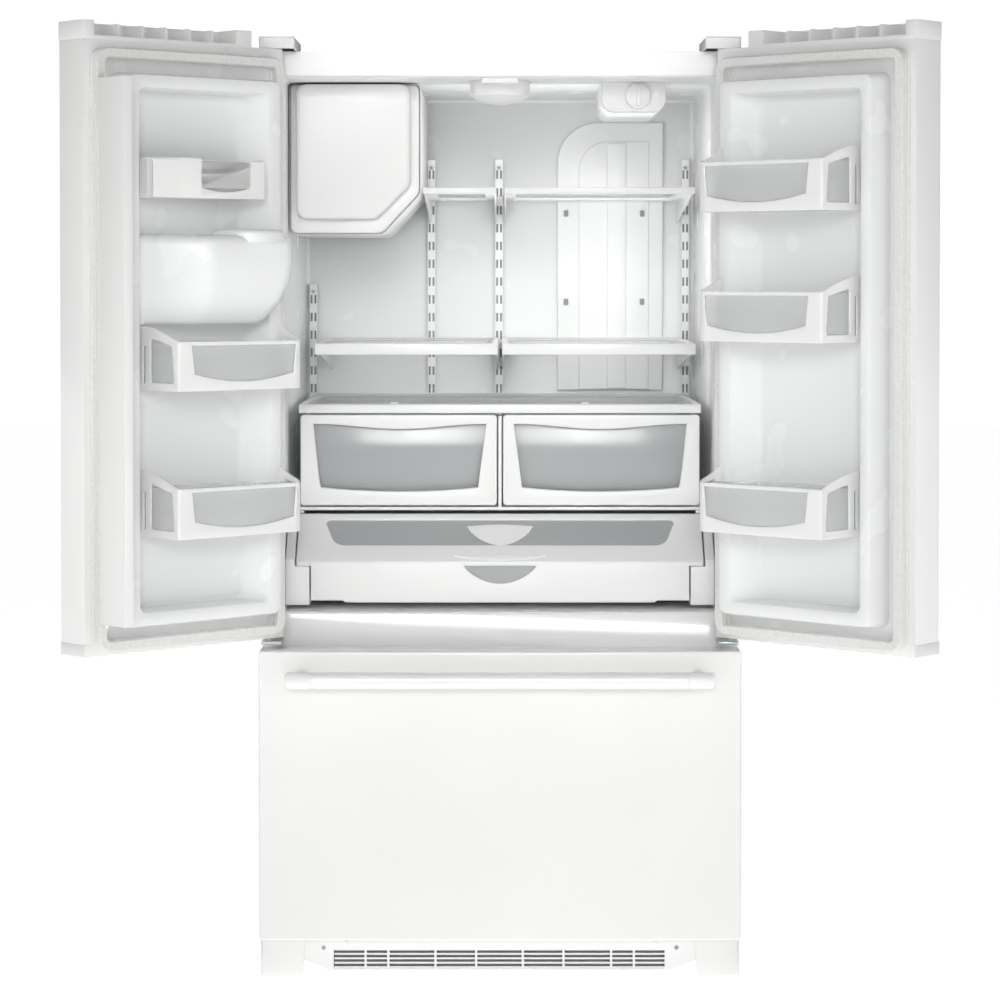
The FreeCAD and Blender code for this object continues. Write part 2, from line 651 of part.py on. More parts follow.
def shelves():
    high_wide, pane_one = shelf("high_wide", (9, 380), size("upper_top"), 13)
    high_slim, pane_two = shelf("high_slim", (-150, -7), size("upper_top"), 13)
    middle_left, pane_three = shelf("middle_left", (-361, -4), size("middle_top"), 22)
    middle_right, pane_four = shelf("middle_right", (4, 381), size("middle_top"), 22)
    finish("upper_shelves", group("upper_set", high_wide, high_slim))
    finish("middle_shelves", group("middle_set", middle_left, middle_right))

    # The crisper cover: a wide frame whose front rail holds the humidity sliders' slots.
    rim = box(
        "cover_rim", both_ways("lid_half"), ("crisper_front", "shelf_back"), ("cover_high - 17", "cover_high")
    )
    hole = box(
        "cover_hole", both_ways("lid_half - 22"), ("crisper_front + 46", "shelf_back - 22"),
        ("cover_high - 18", "cover_high + 1"),
    )
    seat = both_ways("lid_half - 12"), ("crisper_front + 34", "shelf_back - 12")
    ledge = box("cover_seat", *seat, ("cover_high - glass - 1", "cover_high + 1"))
    slots = [
        box(f"slider_slot{side}", across(side, "150", "222"), ("crisper_front + 10", "crisper_front + 20"),
            ("cover_high - 8", "cover_high + 1"))
        for side in (LEFT, RIGHT)
    ]
    finish("crisper_cover", cut("cover_frame", rim, hole, ledge, *slots))
    pane_five = box("cover_pane", *seat, ("cover_high - glass - 1", "cover_high - 1"))
    finish("shelf_glass", group("glass_set", pane_one, pane_two, pane_three, pane_four, pane_five))

    for side, tag, start in ((LEFT, "left", -221), (RIGHT, "right", 151)):
        shoe = box(
            f"slider_shoe_{tag}", (str(start), str(start + 30)),
            ("crisper_front + 10.5", "crisper_front + 19.5"), ("cover_high - 7.5", "cover_high - 1"),
        )
        grip = box(
            f"slider_grip_{tag}", (str(start + 8), str(start + 22)),
            ("crisper_front + 12", "crisper_front + 18"), ("cover_high - 2", "cover_high + 4"),
        )
        finish(f"humidity_slider_{tag}", fuse(f"slider_{tag}", shoe, grip))


# Radius of a ball whose cap is 58 mm in radius and 18 mm deep.
LENS_BALL = (58**2 + 18**2) / (2 * 18)


def fittings():
    """Air duct, lamp lens, centre guide, water filter and its cap."""
    panel = rectangle(("122", "347"), ("1080", "1650"))
    duct = prism("duct", "XZ_Plane", panel, "ladder_face", "fridge_back")
    soften(duct, "86", lambda letter, middle: letter == "y" and middle.x < 200 and middle.z > 1600)
    pocket(duct, "XZ_Plane", [rectangle(("140", "150"), (str(z), str(z + 12))) for z in (1262, 1450)],
           "ladder_face - 1", "fridge_back - 4")
    finish("air_duct_panel", duct)

    lens = rod("lens_disc", "58", ("0", "212", "1671"), "28.5")
    bowl = ball("lens_bowl", LENS_BALL, (0, 212, 1671 + LENS_BALL - 18), -90, -55.51)
    front = box("lens_trim", both_ways("60"), ("230", "275"), ("1650", "1701"))
    finish("lamp_lens", cut("lens", fuse("lens_solid", lens, bowl), front))

    guide = prism("guide", "YZ_Plane", [
        ("112", "1700"), ("112", "1690"), ("136", "1690"), ("150", "1700"),
    ], "-34", "34")
    finish("mullion_guide", guide)

    block = box("filter_block", ("198", "322"), ("236", "620"), ("1642", "1700"))
    soft_block = rounded("filter_soft", block, 24, lambda letter, middle: letter == "y" and middle.z < 1650)
    throat = rod("filter_throat", "20.5", ("268", "230", "1672"), "300", "y")
    finish("filter_housing", cut("filter_shell", soft_block, throat))
    barrel = rod("filter_barrel", "20.45", ("268", "240", "1672"), "280", "y")
    cap = rod("filter_cap_disc", "24", ("268", "226", "1672"), "9.5", "y")
    neck = rod("filter_neck", "16", ("268", "234", "1672"), "8", "y")
    bar = box("filter_bar", ("264", "272"), ("221", "228"), ("1652", "1692"))
    finish("filter_cap", fuse("filter", barrel, cap, neck, bar))


def ice_maker():
    """The insulated ice box on the left wall and the bin that slides out of it, cover first."""

    def profile(grow):
        return [
            (f"-404 + 0.4*{grow}", f"1698 - {grow}"), (f"-412 + {grow}", f"1690 - 0.4*{grow}"),
            (f"-412 + {grow}", f"1404 + {grow}"), (f"-229 - 0.4*{grow}", f"1404 + {grow}"),
            (f"-155 - {grow}", f"1484 + 0.4*{grow}"), (f"-155 - {grow}", f"1698 - {grow}"),
        ]

    housing = prism("ice_box", "XZ_Plane", profile("0"), "264", "780")
    pocket(housing, "XZ_Plane", [profile("4")], "263", "772")
    finish("ice_maker_housing", housing)

    cover_shape = [
        ("-ice_left", "1696"), ("-ice_left", "1434"), ("-242", "1434"),
        ("-ice_right", "1496"), ("-ice_right", "1696"),
    ]
    cover = prism("ice_cover", "XZ_Plane", cover_shape, "232", "262")
    tub_shape = [("-392", "1640"), ("-392", "1440"), ("-244", "1440"), ("-184", "1500"), ("-184", "1640")]
    tub = prism("ice_tub", "XZ_Plane", tub_shape, "262", "700")
    room = [("-388", "1650"), ("-388", "1444"), ("-246", "1444"), ("-188", "1502"), ("-188", "1650")]
    pocket(tub, "XZ_Plane", [room], "266", "696")
    finish("ice_bin", fuse("ice_bin_solid", cover, tub))


# --- drawers --------------------------------------------------------------------------------


def crispers():
    """Two clear drawers, each with a white front frame round a window."""
    for side, tag in ((LEFT, "left"), (RIGHT, "right")):
        frame = box(
            f"crisper_frame_{tag}", across(side, "6", "crisper_half"),
            ("crisper_front", "crisper_front + 18"), ("crisper_low", "crisper_high"),
        )
        window = prism(f"crisper_window_{tag}", "XZ_Plane", [
            (f"{side} * 27", "1035"), (f"{side} * 364", "1035"),
            (f"{side} * 350", "908"), (f"{side} * 44", "908"),
        ], "crisper_front - 1", "crisper_front + 14")
        tub = box(
            f"crisper_tub_{tag}", across(side, "10", "crisper_half - 4"),
            ("crisper_front + 18", "758"), ("crisper_low + 3", "crisper_high - 6"),
        )
        room = box(
            f"crisper_room_{tag}", across(side, "13", "crisper_half - 7"),
            ("crisper_front + 18", "755"), ("crisper_low + 6", "crisper_high"),
        )
        front = cut(f"crisper_front_{tag}", frame, window)
        finish(f"crisper_{tag}", fuse(f"crisper_solid_{tag}", front, cut(f"crisper_shell_{tag}", tub, room)))


def pantry():
    """The full-width drawer at the bottom, its sloping lid and the surround that carries both."""
    tray = box(
        "pantry_tray", both_ways("pantry_half - 6"), ("pantry_front + 14", "700"), ("pantry_low + 4", "762")
    )
    room = box(
        "pantry_room", both_ways("pantry_half - 10"), ("pantry_front + 14", "696"), ("pantry_low + 8", "763")
    )
    front = box(
        "pantry_face", both_ways("pantry_half"), ("pantry_front", "pantry_front + 14"), ("pantry_low", "770")
    )
    grip = prism("pantry_grip", "XZ_Plane", [
        ("-70", "771"), ("-66", "752"), ("-40", "737"), ("40", "737"), ("66", "752"), ("70", "771"),
    ], "pantry_front - 1", "pantry_front + 9")
    finish("pantry_drawer", fuse("pantry", cut("pantry_shell", tray, room), cut("pantry_panel", front, grip)))

    lid = prism("lid", "YZ_Plane", [
        ("pantry_front", "lid_low"), ("pantry_front", "lid_low - 4"), ("pantry_front + 6", "lid_low - 4"),
        ("lid_back", "lid_high - 8"), ("lid_back", "lid_high"),
    ], "-lid_half + 1", "lid_half - 1")
    pins = [
        rod(f"lid_pin_{tag}", "lid_pin", (start, "lid_back", "lid_high"), "24", "x")
        for tag, start in (("left", "-402"), ("right", "378"))
    ]
    finish("pantry_lid", fuse("lid_whole", lid, *pins))

    pieces = [box("pantry_roof", both_ways("411"), ("lid_back + 3", "790"), ("866", "872"))]
    pieces.append(box("crisper_divider", both_ways("3"), ("crisper_front + 4", "780"), ("872", "1050")))
    for side, tag in ((LEFT, "left"), (RIGHT, "right")):
        pieces.append(prism(f"pantry_side_{tag}", "YZ_Plane", [
            ("pantry_front + 2", "692"), ("790", "692"), ("790", "872"),
            ("lid_back + 3", "872"), ("pantry_front + 2", "779"),
        ], *across(side, "lid_half + 2", "411")))
        pieces.append(box(f"pantry_block_{tag}", across(side, "pantry_half + 3", "lid_half + 2"),
                          ("pantry_front + 2", "720"), ("692", "766")))
    bore = rod("lid_bore", "lid_pin + running", ("-403", "lid_back", "lid_high"), "806", "x")
    finish("pantry_surround", cut("surround", fuse("surround_whole", *pieces), bore))


def freezer_drawer():
    low, high = "drawer_low", "drawer_high"
    slab = box("drawer_slab", both_ways("case_width/2"), ("0", "door_depth"), (low, high))
    soft = rounded("drawer_soft", slab, 5, lambda letter, middle: middle.y < 10)
    room = box("drawer_hollow", both_ways("case_width/2 - steel"), ("steel", "door_depth + 1"),
               (f"{low} + steel", f"{high} - steel"))
    finish("freezer_front", cut("drawer_skin", soft, room))

    plate = box("drawer_plate", both_ways("case_width/2 - steel"), ("door_depth - plastic", "door_depth"),
                (f"{low} + steel", f"{high} - steel"))
    raised = box("drawer_raised", both_ways("396"), ("door_depth", "120"), ("140", "580"))
    dish = box("drawer_dish", both_ways("366"), ("recess_floor", "121"), ("170", "550"))
    finish("freezer_inner_panel", fuse("drawer_liner", plate, cut("drawer_rim", raised, dish)))

    seal = box("drawer_seal", both_ways("436"), ("door_depth", "gasket_face"), ("96", "606"))
    seal_room = box(
        "drawer_seal_room", both_ways("436 - gasket_width"),
        ("door_depth - 1", "gasket_face + 1"), ("96 + gasket_width", "606 - gasket_width"),
    )
    finish("freezer_gasket", cut("drawer_gasket", seal, seal_room))

    bar = rod("drawer_bar", "grip_radius", ("-grip_half", "-grip_out", "grip_height"), "2 * grip_half", "x")
    posts = [
        rod(
            f"drawer_post{side}", "11",
            (f"{side} * (grip_half - 28)", "-grip_out", "grip_height"), "grip_out", "y",
        )
        for side in (LEFT, RIGHT)
    ]
    finish("freezer_handle", fuse("drawer_handle", bar, *posts))

    tub = box("basket_tub", both_ways("370"), ("122", "570"), ("135", "420"))
    tub_room = box("basket_room", both_ways("366"), ("126", "566"), ("139", "421"))
    rims = [
        box(f"basket_rim{side}", across(side, "369", "400"), ("122", "570"), ("404", "418"))
        for side in (LEFT, RIGHT)
    ]
    finish("freezer_basket", fuse("basket", cut("basket_shell", tub, tub_room), *rims))

    tray = box("tray_tub", both_ways("358"), ("128", "505"), ("436", "560"))
    tray_room = box("tray_room", both_ways("354"), ("132", "501"), ("440", "561"))
    flanges = [
        box(f"tray_rim{side}", across(side, "357", "396"), ("128", "505"), ("436", "442"))
        for side in (LEFT, RIGHT)
    ]
    finish("freezer_tray", fuse("tray_solid", cut("tray_shell", tray, tray_room), *flanges))

    rails = []
    for side, tag in ((LEFT, "left"), (RIGHT, "right")):
        rail = box(f"slide_rail_{tag}", across(side, "401", "413"), ("112", "586"), ("392", "432"))
        groove = box(f"slide_groove_{tag}", across(side, "400", "409"), ("111", "587"), ("400", "424"))
        rails.append(cut(f"slide_{tag}", rail, groove))
    finish("freezer_slides", group("slide_set", *rails))


# --- doors ----------------------------------------------------------------------------------


def ring(name, outer, inner, y):
    """A picture-frame ring: outer and inner are (x pair, z pair)."""
    block = box(name + "_outer", outer[0], y, outer[1])
    room = box(name + "_inner", inner[0], (f"{y[0]} - 1", f"{y[1]} + 1"), inner[1])
    return cut(name, block, room)


def bin_tub(name, side, near, far, back, front, low, high, shoulder_far):
    """An open tray that is narrower between the liner's rims and wider in front of them."""

    def solid(tag, inset, top):
        wide = box(f"{name}_{tag}_wide", across(side, f"{near} + {inset}", f"{far} - {inset}"),
                   (f"bin_shoulder + {inset}", f"{front} - {inset}"), (f"{low} + {inset}", top))
        slim = box(f"{name}_{tag}_slim", across(side, f"{near} + {inset}", f"{shoulder_far} - {inset}"),
                   (f"{back} + {inset}", f"{front} - {inset}"), (f"{low} + {inset}", top))
        whole = fuse(f"{name}_{tag}", wide, slim)
        doc.recompute()
        extent = whole.Shape.BoundBox
        deep, floor = extent.YMax - 1, extent.ZMin + 1
        return rounded(
            f"{name}_{tag}_soft", whole, 16 - float(inset),
            lambda letter, middle: middle.y > deep and (letter == "z" or (letter == "x" and middle.z < floor)),
        )

    return cut(name, solid("outside", "0", str(high)), solid("inside", "3", str(high + 1)))


def door(side, tag):
    span = across(side, "door_gap", "case_width/2")
    inside = across(side, "door_gap + steel", "case_width/2 - steel")
    pivot = f"{side} * pivot_across"

    slab = box(f"{tag}_slab", span, ("0", "door_depth"), ("cap_low", "cap_high"))
    soft = rounded(f"{tag}_slab_soft", slab, 5, lambda letter, middle: letter == "z" and middle.y < 10)
    hollow = box(f"{tag}_hollow", inside, ("steel", "door_depth + 1"), ("cap_low - 1", "cap_high + 1"))
    tools = [hollow]
    if side == LEFT:
        tools.append(box("skin_niche", beside_niche("-niche_half", "niche_half"), ("-1", "steel + 1"),
                         ("niche_low", "niche_high")))
    finish(f"{tag}_door_skin", cut(f"{tag}_skin", soft, *tools), side)

    plate = box(f"{tag}_plate", inside, ("door_depth - plastic", "door_depth"), ("cap_low", "cap_high"))
    rim = ring(
        f"{tag}_rim",
        (across(side, "dike_near", "dike_far"), ("dike_low", "dike_high")),
        (across(side, "dike_near + dike_slim", "dike_far - dike_wide"),
            ("dike_low + dike_slim", "dike_high - dike_slim")),
        ("door_depth", "dike_face"),
    )
    floor = box(f"{tag}_floor", across(side, "dike_near + 4", "dike_far - 4"), ("door_depth", "recess_floor"),
                ("dike_low + 4", "dike_high - 4"))
    liner = fuse(f"{tag}_liner", plate, rim, floor)
    if side == LEFT:
        lugs = [
            box(
                f"flap_lug{low}", across(side, "12", "60"),
                ("flap_back - 10", "flap_back + 10"), (low, f"{low} + 9"),
            )
            for low in ("flap_low - 10", "flap_high + 1")
        ]
        holes = rod(
            "flap_holes", "lid_pin + running",
            ("-flap_across", "flap_back", "flap_low - 12"), "flap_high - flap_low + 24",
        )
        liner = cut("left_liner_drilled", fuse("left_liner_lugged", liner, *lugs), holes)
    finish(f"{tag}_door_liner", liner, side)

    # Upper cap: an open trough with slanting ribs, dropping to a thin notch over the hinge.
    cap = box(f"{tag}_cap_high", span, ("0", "door_depth"), ("cap_high", "door_top"))
    notch = box(
        f"{tag}_cap_notch", across(side, "notch_start", "case_width/2 + 1"),
        ("-1", "door_depth + 1"), ("notch_floor", "door_top + 1"),
    )
    trough = box(
        f"{tag}_cap_trough", across(side, "28", "345"),
        ("14", "door_depth + 1"), ("cap_high + 8", "door_top + 1"),
    )
    ribs = [
        box(f"{tag}_cap_rib{k}", across(side, f"{80 + 52 * k}", f"{83 + 52 * k}"), ("13", "door_depth"),
            ("cap_high + 7", "door_top - 4"))
        for k in range(5)
    ]
    boss = rod(f"{tag}_boss", "12", (pivot, "pivot_back", "cap_high - 20"), "21")
    high_bore = rod(f"{tag}_bore_high", "pin_radius + running", (pivot, "pivot_back", "cap_high - 21"), "40")
    ribbed = fuse(f"{tag}_cap_ribbed", cut(f"{tag}_cap_open", cap, notch, trough), *ribs, boss)
    upper = cut(f"{tag}_cap_upper", ribbed, high_bore)
    lower_block = box(f"{tag}_cap_low", span, ("0", "door_depth"), ("door_bottom", "cap_low"))
    low_bore = rod(f"{tag}_bore_low", "pin_radius + running", (pivot, "pivot_back", "door_bottom - 1"), "24")
    lower = cut(f"{tag}_cap_lower", lower_block, low_bore)
    finish(f"{tag}_door_caps", group(f"{tag}_caps", upper, lower), side)

    finish(f"{tag}_door_gasket", ring(
        f"{tag}_gasket",
        (across(side, "gasket_near", "gasket_far"), ("gasket_low", "gasket_high")),
        (across(side, "gasket_near + gasket_width", "gasket_far - gasket_width"),
         ("gasket_low + gasket_width", "gasket_high - gasket_width")),
        ("door_depth", "gasket_face"),
    ), side)

    place = f"{side} * 62"
    bar = rod(f"{tag}_bar", "grip_radius", (place, "-grip_out", "800"), "820")
    posts = [rod(f"{tag}_post{z}", "11", (place, "-grip_out", z), "grip_out", "y") for z in (828, 1592)]
    finish(f"{tag}_door_handle", fuse(f"{tag}_handle", bar, *posts), side)


def beside_niche(low, high):
    """A (low, high) pair along X for two distances from the middle of the dispenser."""
    return (f"-niche_across + ({low})", f"-niche_across + ({high})")


def dispenser():
    """The outside niche with its tray and lugs, the paddle that hangs in it, and the chute inside."""
    wide = beside_niche("-niche_half", "niche_half")
    inside = beside_niche("4 - niche_half", "niche_half - 4")
    mouth = ("niche_low + 10", "niche_high - 90")
    block = box("niche_block", wide, ("0", "70"), ("niche_low", "niche_high"))
    room = box("niche_room", inside, ("-1", "66"), mouth)
    bezel = box("niche_bezel", beside_niche("-niche_half - 8", "niche_half + 8"), ("-4", "0"),
                ("niche_low - 8", "niche_high + 8"))
    bezel_room = box("niche_bezel_room", inside, ("-5", "1"), mouth)
    lugs = [
        box(
            f"paddle_lug{start}", beside_niche(start, start + 5), ("38", "66"),
            ("paddle_high - 9", "paddle_high + 9"),
        )
        for start in (-40, 35)
    ]
    start = ("-niche_across - 41", "paddle_back", "paddle_high")
    holes = rod("paddle_holes", "2.5 + running", start, "82", "x")
    body = fuse("niche_body", cut("niche_hollow", block, room), cut("niche_front", bezel, bezel_room), *lugs)
    finish("dispenser_recess", cut("niche", body, holes), LEFT)

    pin = rod("paddle_pin", "2.5", ("-niche_across - 39", "paddle_back", "paddle_high"), "78", "x")
    hanger = box("paddle_hanger", beside_niche(-34, 34), ("paddle_back - 3", "paddle_back + 3"),
                 ("paddle_high - 15", "paddle_high + 1"))
    blade = box("paddle_blade", beside_niche(-30, 30), ("paddle_back - 3", "paddle_back"),
                ("paddle_high - 109", "paddle_high - 13"))
    finish("dispenser_paddle", fuse("paddle", pin, hanger, blade), LEFT)

    chute = prism("chute", "XY_Plane", [
        ("-91", "recess_floor"), ("-91", "110"), ("-190", "204"), ("-380", "204"),
        ("-402", "180"), ("-402", "136"), ("-344", "136"), ("-344", "recess_floor"),
    ], "1236", "1398")
    soften(chute, "14", lambda letter, middle: letter == "z" and middle.y > 190)
    collar = rod("chute_collar", "66", ("-315", "146", "1390"), "18")
    rim_room = box("chute_rim_room", ("-420", "-344"), ("60", "136"), ("1380", "1410"))
    floor_room = box("chute_floor_room", ("-420", "-240"), ("60", "recess_floor"), ("1380", "1410"))
    bore = rod("chute_bore", "46", ("-315", "146", "1330"), "80")
    top = cut("chute_top", collar, rim_room, floor_room)
    finish("ice_chute", cut("chute_solid", fuse("chute_whole", chute, top), bore), LEFT)


def folding_flap():
    """The flap that seals the gap between the doors, and its pins."""
    leaf = box("flap_leaf", ("-flap_across - 9", "-flap_across + 9"), ("flap_back - 9", "flap_back + 69"),
               ("flap_low", "flap_high"))
    start = ("-flap_across", "flap_back", "flap_low - 8")
    pin = rod("flap_pin", "lid_pin", start, "flap_high - flap_low + 16")
    finish("mullion_flap", fuse("flap", leaf, pin), LEFT)


# Underside and rim of each door bin above the floor, lowest bin first.
LEFT_BINS = ((855, 945), (1118, 1206))
RIGHT_BINS = ((855, 945), (1204, 1295), (1440, 1531))


def door_fittings():
    dispenser()
    folding_flap()
    top_bin = bin_tub("top_bin", LEFT, "91", "342", "90", "168", 1463, 1535, "342")
    finish("left_top_bin", top_bin, LEFT)
    for side, tag, levels in ((LEFT, "left", LEFT_BINS), (RIGHT, "right", RIGHT_BINS)):
        depth = ("bin_back", "bin_front")
        bins = [
            bin_tub(f"{tag}_bin{low}", side, "bin_near", "bin_far", *depth, low, high, "bin_waist")
            for low, high in levels
        ]
        finish(f"{tag}_door_bins", group(f"{tag}_bins", *bins), side)


cabinet()
rear_cover()
base()
machine()
hinges()
grille()
screws()
ladders()
shelves()
fittings()
ice_maker()
crispers()
pantry()
freezer_drawer()
door(LEFT, "left")
door(RIGHT, "right")
door_fittings()
doc.recompute()

faults = [item.Name for item in doc.Objects if "Invalid" in item.State or "Error" in item.State]
faults += [piece.Label for piece in finished if piece.Shape.isNull() or not piece.Shape.isValid()]
if faults:
    raise RuntimeError("failed: " + ", ".join(faults))
os.makedirs("parts", exist_ok=True)
for piece in finished:
    piece.Shape.exportStep(f"parts/{piece.Label}.step")
    extent = piece.Shape.BoundBox
    count, volume = len(piece.Shape.Solids), piece.Shape.Volume / 1000
    width, depth, height = extent.XLength, extent.YLength, extent.ZLength
    print(f"{piece.Label}: {count} solids, {volume:.0f} cm3, {width:.0f} x {depth:.0f} x {height:.0f} mm")
print(len(finished), "sub-parts")
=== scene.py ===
import json
import math

import bmesh
import bpy
from mathutils import Matrix, Vector


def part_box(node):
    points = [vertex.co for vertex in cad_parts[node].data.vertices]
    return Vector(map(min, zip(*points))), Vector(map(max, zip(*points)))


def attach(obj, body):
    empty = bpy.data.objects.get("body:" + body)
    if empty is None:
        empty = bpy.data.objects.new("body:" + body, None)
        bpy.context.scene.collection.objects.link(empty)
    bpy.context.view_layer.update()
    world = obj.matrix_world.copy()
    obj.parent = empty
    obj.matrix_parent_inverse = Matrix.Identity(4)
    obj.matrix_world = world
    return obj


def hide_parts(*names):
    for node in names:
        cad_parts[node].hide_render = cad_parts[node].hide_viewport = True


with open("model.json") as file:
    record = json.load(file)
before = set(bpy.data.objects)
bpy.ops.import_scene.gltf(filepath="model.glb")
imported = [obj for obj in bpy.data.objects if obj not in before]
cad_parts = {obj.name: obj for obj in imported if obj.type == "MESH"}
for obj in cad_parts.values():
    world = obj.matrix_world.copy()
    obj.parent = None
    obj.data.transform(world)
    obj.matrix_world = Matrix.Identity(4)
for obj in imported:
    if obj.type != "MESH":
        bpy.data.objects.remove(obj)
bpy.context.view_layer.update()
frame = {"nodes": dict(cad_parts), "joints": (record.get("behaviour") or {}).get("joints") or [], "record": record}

# A white refrigerator with two open doors over a freezer drawer. Pieces are drawn in millimetres as if
# the doors were shut: X across the front, Y back from the doors' front faces, Z up from the floor.
# A door's pieces are drawn for the right-hand door, X running from the middle to the hinge.

LEFT, RIGHT = -1, 1
TAG = {LEFT: "left", RIGHT: "right"}
RECORD = frame["record"]
BODY_OF = {node: body for body, nodes in RECORD["behaviour"]["bodies"].items() for node in nodes}
SLOT_OF = {row["node"]: row["material_slot"] for row in RECORD["subparts"]}
HOME = Matrix.Translation((0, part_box("freezer_front")[0].y, 0)) @ Matrix.Scale(0.001, 4)


def swing(side):
    """Carries a point of a shut door to where it is with the door open."""
    joint = next(j for j in frame["joints"] if j["child"] == TAG[side] + "_door")
    pivot = Matrix.Translation(joint["pos_m"])
    turn = Matrix.Rotation(-math.radians(joint["range_deg"][0]), 4, Vector(joint["axis"]))
    return pivot @ turn @ pivot.inverted()


MIRROR = {RIGHT: Matrix.Identity(4), LEFT: Matrix.Scale(-1, 4, (1, 0, 0))}
PLACE = {side: swing(side) @ HOME @ MIRROR[side] for side in (LEFT, RIGHT)}
PLACE[None] = HOME


def extent(node, side=None):
    """Lowest and highest corner of a CAD node, in shut-door millimetres."""
    back = PLACE[side].inverted()
    points = [back @ vertex.co for vertex in frame["nodes"][node].data.vertices]
    corners = [[pick(point[axis] for point in points) for axis in range(3)] for pick in (min, max)]
    return Vector(corners[0]), Vector(corners[1])


# --- outlines -------------------------------------------------------------------------------


def outline(*corners, steps=6):
    """A closed outline through corners (u, v, radius), each turned by an arc of that radius."""
    points = []
    for index, (u, v, radius) in enumerate(corners):
        here = Vector((u, v))
        before = Vector(corners[index - 1][:2]) - here
        after = Vector(corners[(index + 1) % len(corners)][:2]) - here
        half = before.angle(after) / 2
        reach = min(radius / math.tan(half), 0.49 * min(before.length, after.length))
        if reach < 1e-6:
            points.append(here)
            continue
        start = before.normalized() * reach
        end = after.normalized() * reach
        centre = (start + end) / (2 * math.cos(half) ** 2)
        sweep = (start - centre).angle_signed(end - centre)
        for step in range(steps + 1):
            points.append(here + centre + Matrix.Rotation(-sweep * step / steps, 2) @ (start - centre))
    return points


def bowed(start, end, sag, steps=10):
    """Points from start to end along a shallow arc that hangs below the straight line by sag."""
    start, end = Vector(start), Vector(end)
    drop = Vector((0, -sag))
    return [start.lerp(end, k / steps) + drop * (1 - (2 * k / steps - 1) ** 2) for k in range(steps + 1)]


def circle(u, v, radius, sides=48):
    turn = 2 * math.pi / sides
    return [Vector((u + radius * math.cos(k * turn), v + radius * math.sin(k * turn))) for k in range(sides)]


def rectangle(x, z, radius, steps=6):
    """A round-cornered rectangle between the (low, high) pairs x and z."""
    return outline((x[0], z[0], radius), (x[1], z[0], radius), (x[1], z[1], radius), (x[0], z[1], radius),
                   steps=steps)


# --- meshes ---------------------------------------------------------------------------------

# How the two drawing directions and the depth of a flat outline lie in space.
LYING = {
    "front": lambda u, v, depth: Vector((u, depth, v)),
    "top": lambda u, v, depth: Vector((u, v, depth)),
    "side": lambda u, v, depth: Vector((depth, u, v)),
}


def mesh_from(bm):
    bmesh.ops.recalc_face_normals(bm, faces=bm.faces)
    mesh = bpy.data.meshes.new("part")
    bm.to_mesh(mesh)
    bm.free()
    return mesh


def loft(rings, closed=False):
    """A skin over rings of equally many points, closed by a face at each end or joined end to end."""
    bm = bmesh.new()
    loops = [[bm.verts.new(point) for point in ring] for ring in rings]
    following = loops[1:] + loops[:1] if closed else loops[1:]
    for one, two in zip(loops, following):
        for k in range(len(one)):
            after = (k + 1) % len(one)
            bm.faces.new((one[k], one[after], two[after], two[k]))
    if not closed:
        bm.faces.new(loops[0])
        bm.faces.new(loops[-1])
    return mesh_from(bm)


def layers(lying, rows):
    """Rings for a loft: each row is (outline, depth)."""
    return [[LYING[lying](u, v, depth) for u, v in shape] for shape, depth in rows]


def plate(lying, outlines, low, high, edge=1.0):
    """A flat plate between two depths; outlines after the first are holes, and its edges are rounded."""
    curve = bpy.data.curves.new("plate", "CURVE")
    curve.dimensions = "2D"
    curve.fill_mode = "BOTH"
    curve.extrude = (high - low) / 2 - edge
    curve.bevel_depth = edge
    curve.bevel_resolution = 2
    curve.offset = -edge
    for shape in outlines:
        spline = curve.splines.new("POLY")
        spline.points.add(len(shape) - 1)
        spline.use_cyclic_u = True
        for point, (u, v) in zip(spline.points, shape):
            point.co = (u, v, 0, 1)
    holder = bpy.data.objects.new("plate", curve)
    mesh = bpy.data.meshes.new_from_object(holder)
    bpy.data.objects.remove(holder)
    for vertex in mesh.vertices:
        vertex.co = LYING[lying](vertex.co.x, vertex.co.y, vertex.co.z + (low + high) / 2)
    bm = bmesh.new()
    bm.from_mesh(mesh)
    bmesh.ops.remove_doubles(bm, verts=bm.verts, dist=0.01)
    return mesh_from(bm)


def turned(profile, start, along, sides=40):
    """A lathe shape: profile rows are (distance along the axis, radius)."""
    along = Vector(along).normalized()
    first = along.orthogonal().normalized()
    second = along.cross(first)
    rings = []
    for distance, radius in profile:
        centre = Vector(start) + along * distance
        rings.append([centre + (first * u + second * v) for u, v in circle(0, 0, radius, sides)])
    return loft(rings)


def joined(*meshes):
    bm = bmesh.new()
    for mesh in meshes:
        bm.from_mesh(mesh)
    whole = bpy.data.meshes.new("whole")
    bm.to_mesh(whole)
    bm.free()
    return whole


def eased(mesh, width, segments=2, limit=30):
    """The mesh with every edge sharper than the limit rounded over."""
    bm = bmesh.new()
    bm.from_mesh(mesh)
    bmesh.ops.remove_doubles(bm, verts=bm.verts, dist=0.005)
    flat = math.radians(1)
    bmesh.ops.dissolve_limit(bm, angle_limit=flat, verts=bm.verts, edges=bm.edges)
    sharp = [
        edge for edge in bm.edges
        if len(edge.link_faces) == 2 and edge.calc_face_angle(0) > math.radians(limit)
    ]
    bmesh.ops.bevel(
        bm, geom=sharp, offset=width, segments=segments, profile=0.5, affect="EDGES", clamp_overlap=True,
    )
    whole = bpy.data.meshes.new("eased")
    bm.to_mesh(whole)
    bm.free()
    return whole


def drawn_again(node, width, side=None):
    """A CAD node's own shape in shut-door millimetres, with its edges eased."""
    mesh = frame["nodes"][node].data.copy()
    mesh.transform(PLACE[side].inverted())
    if side == LEFT:
        mesh.flip_normals()
    return eased(mesh, width)


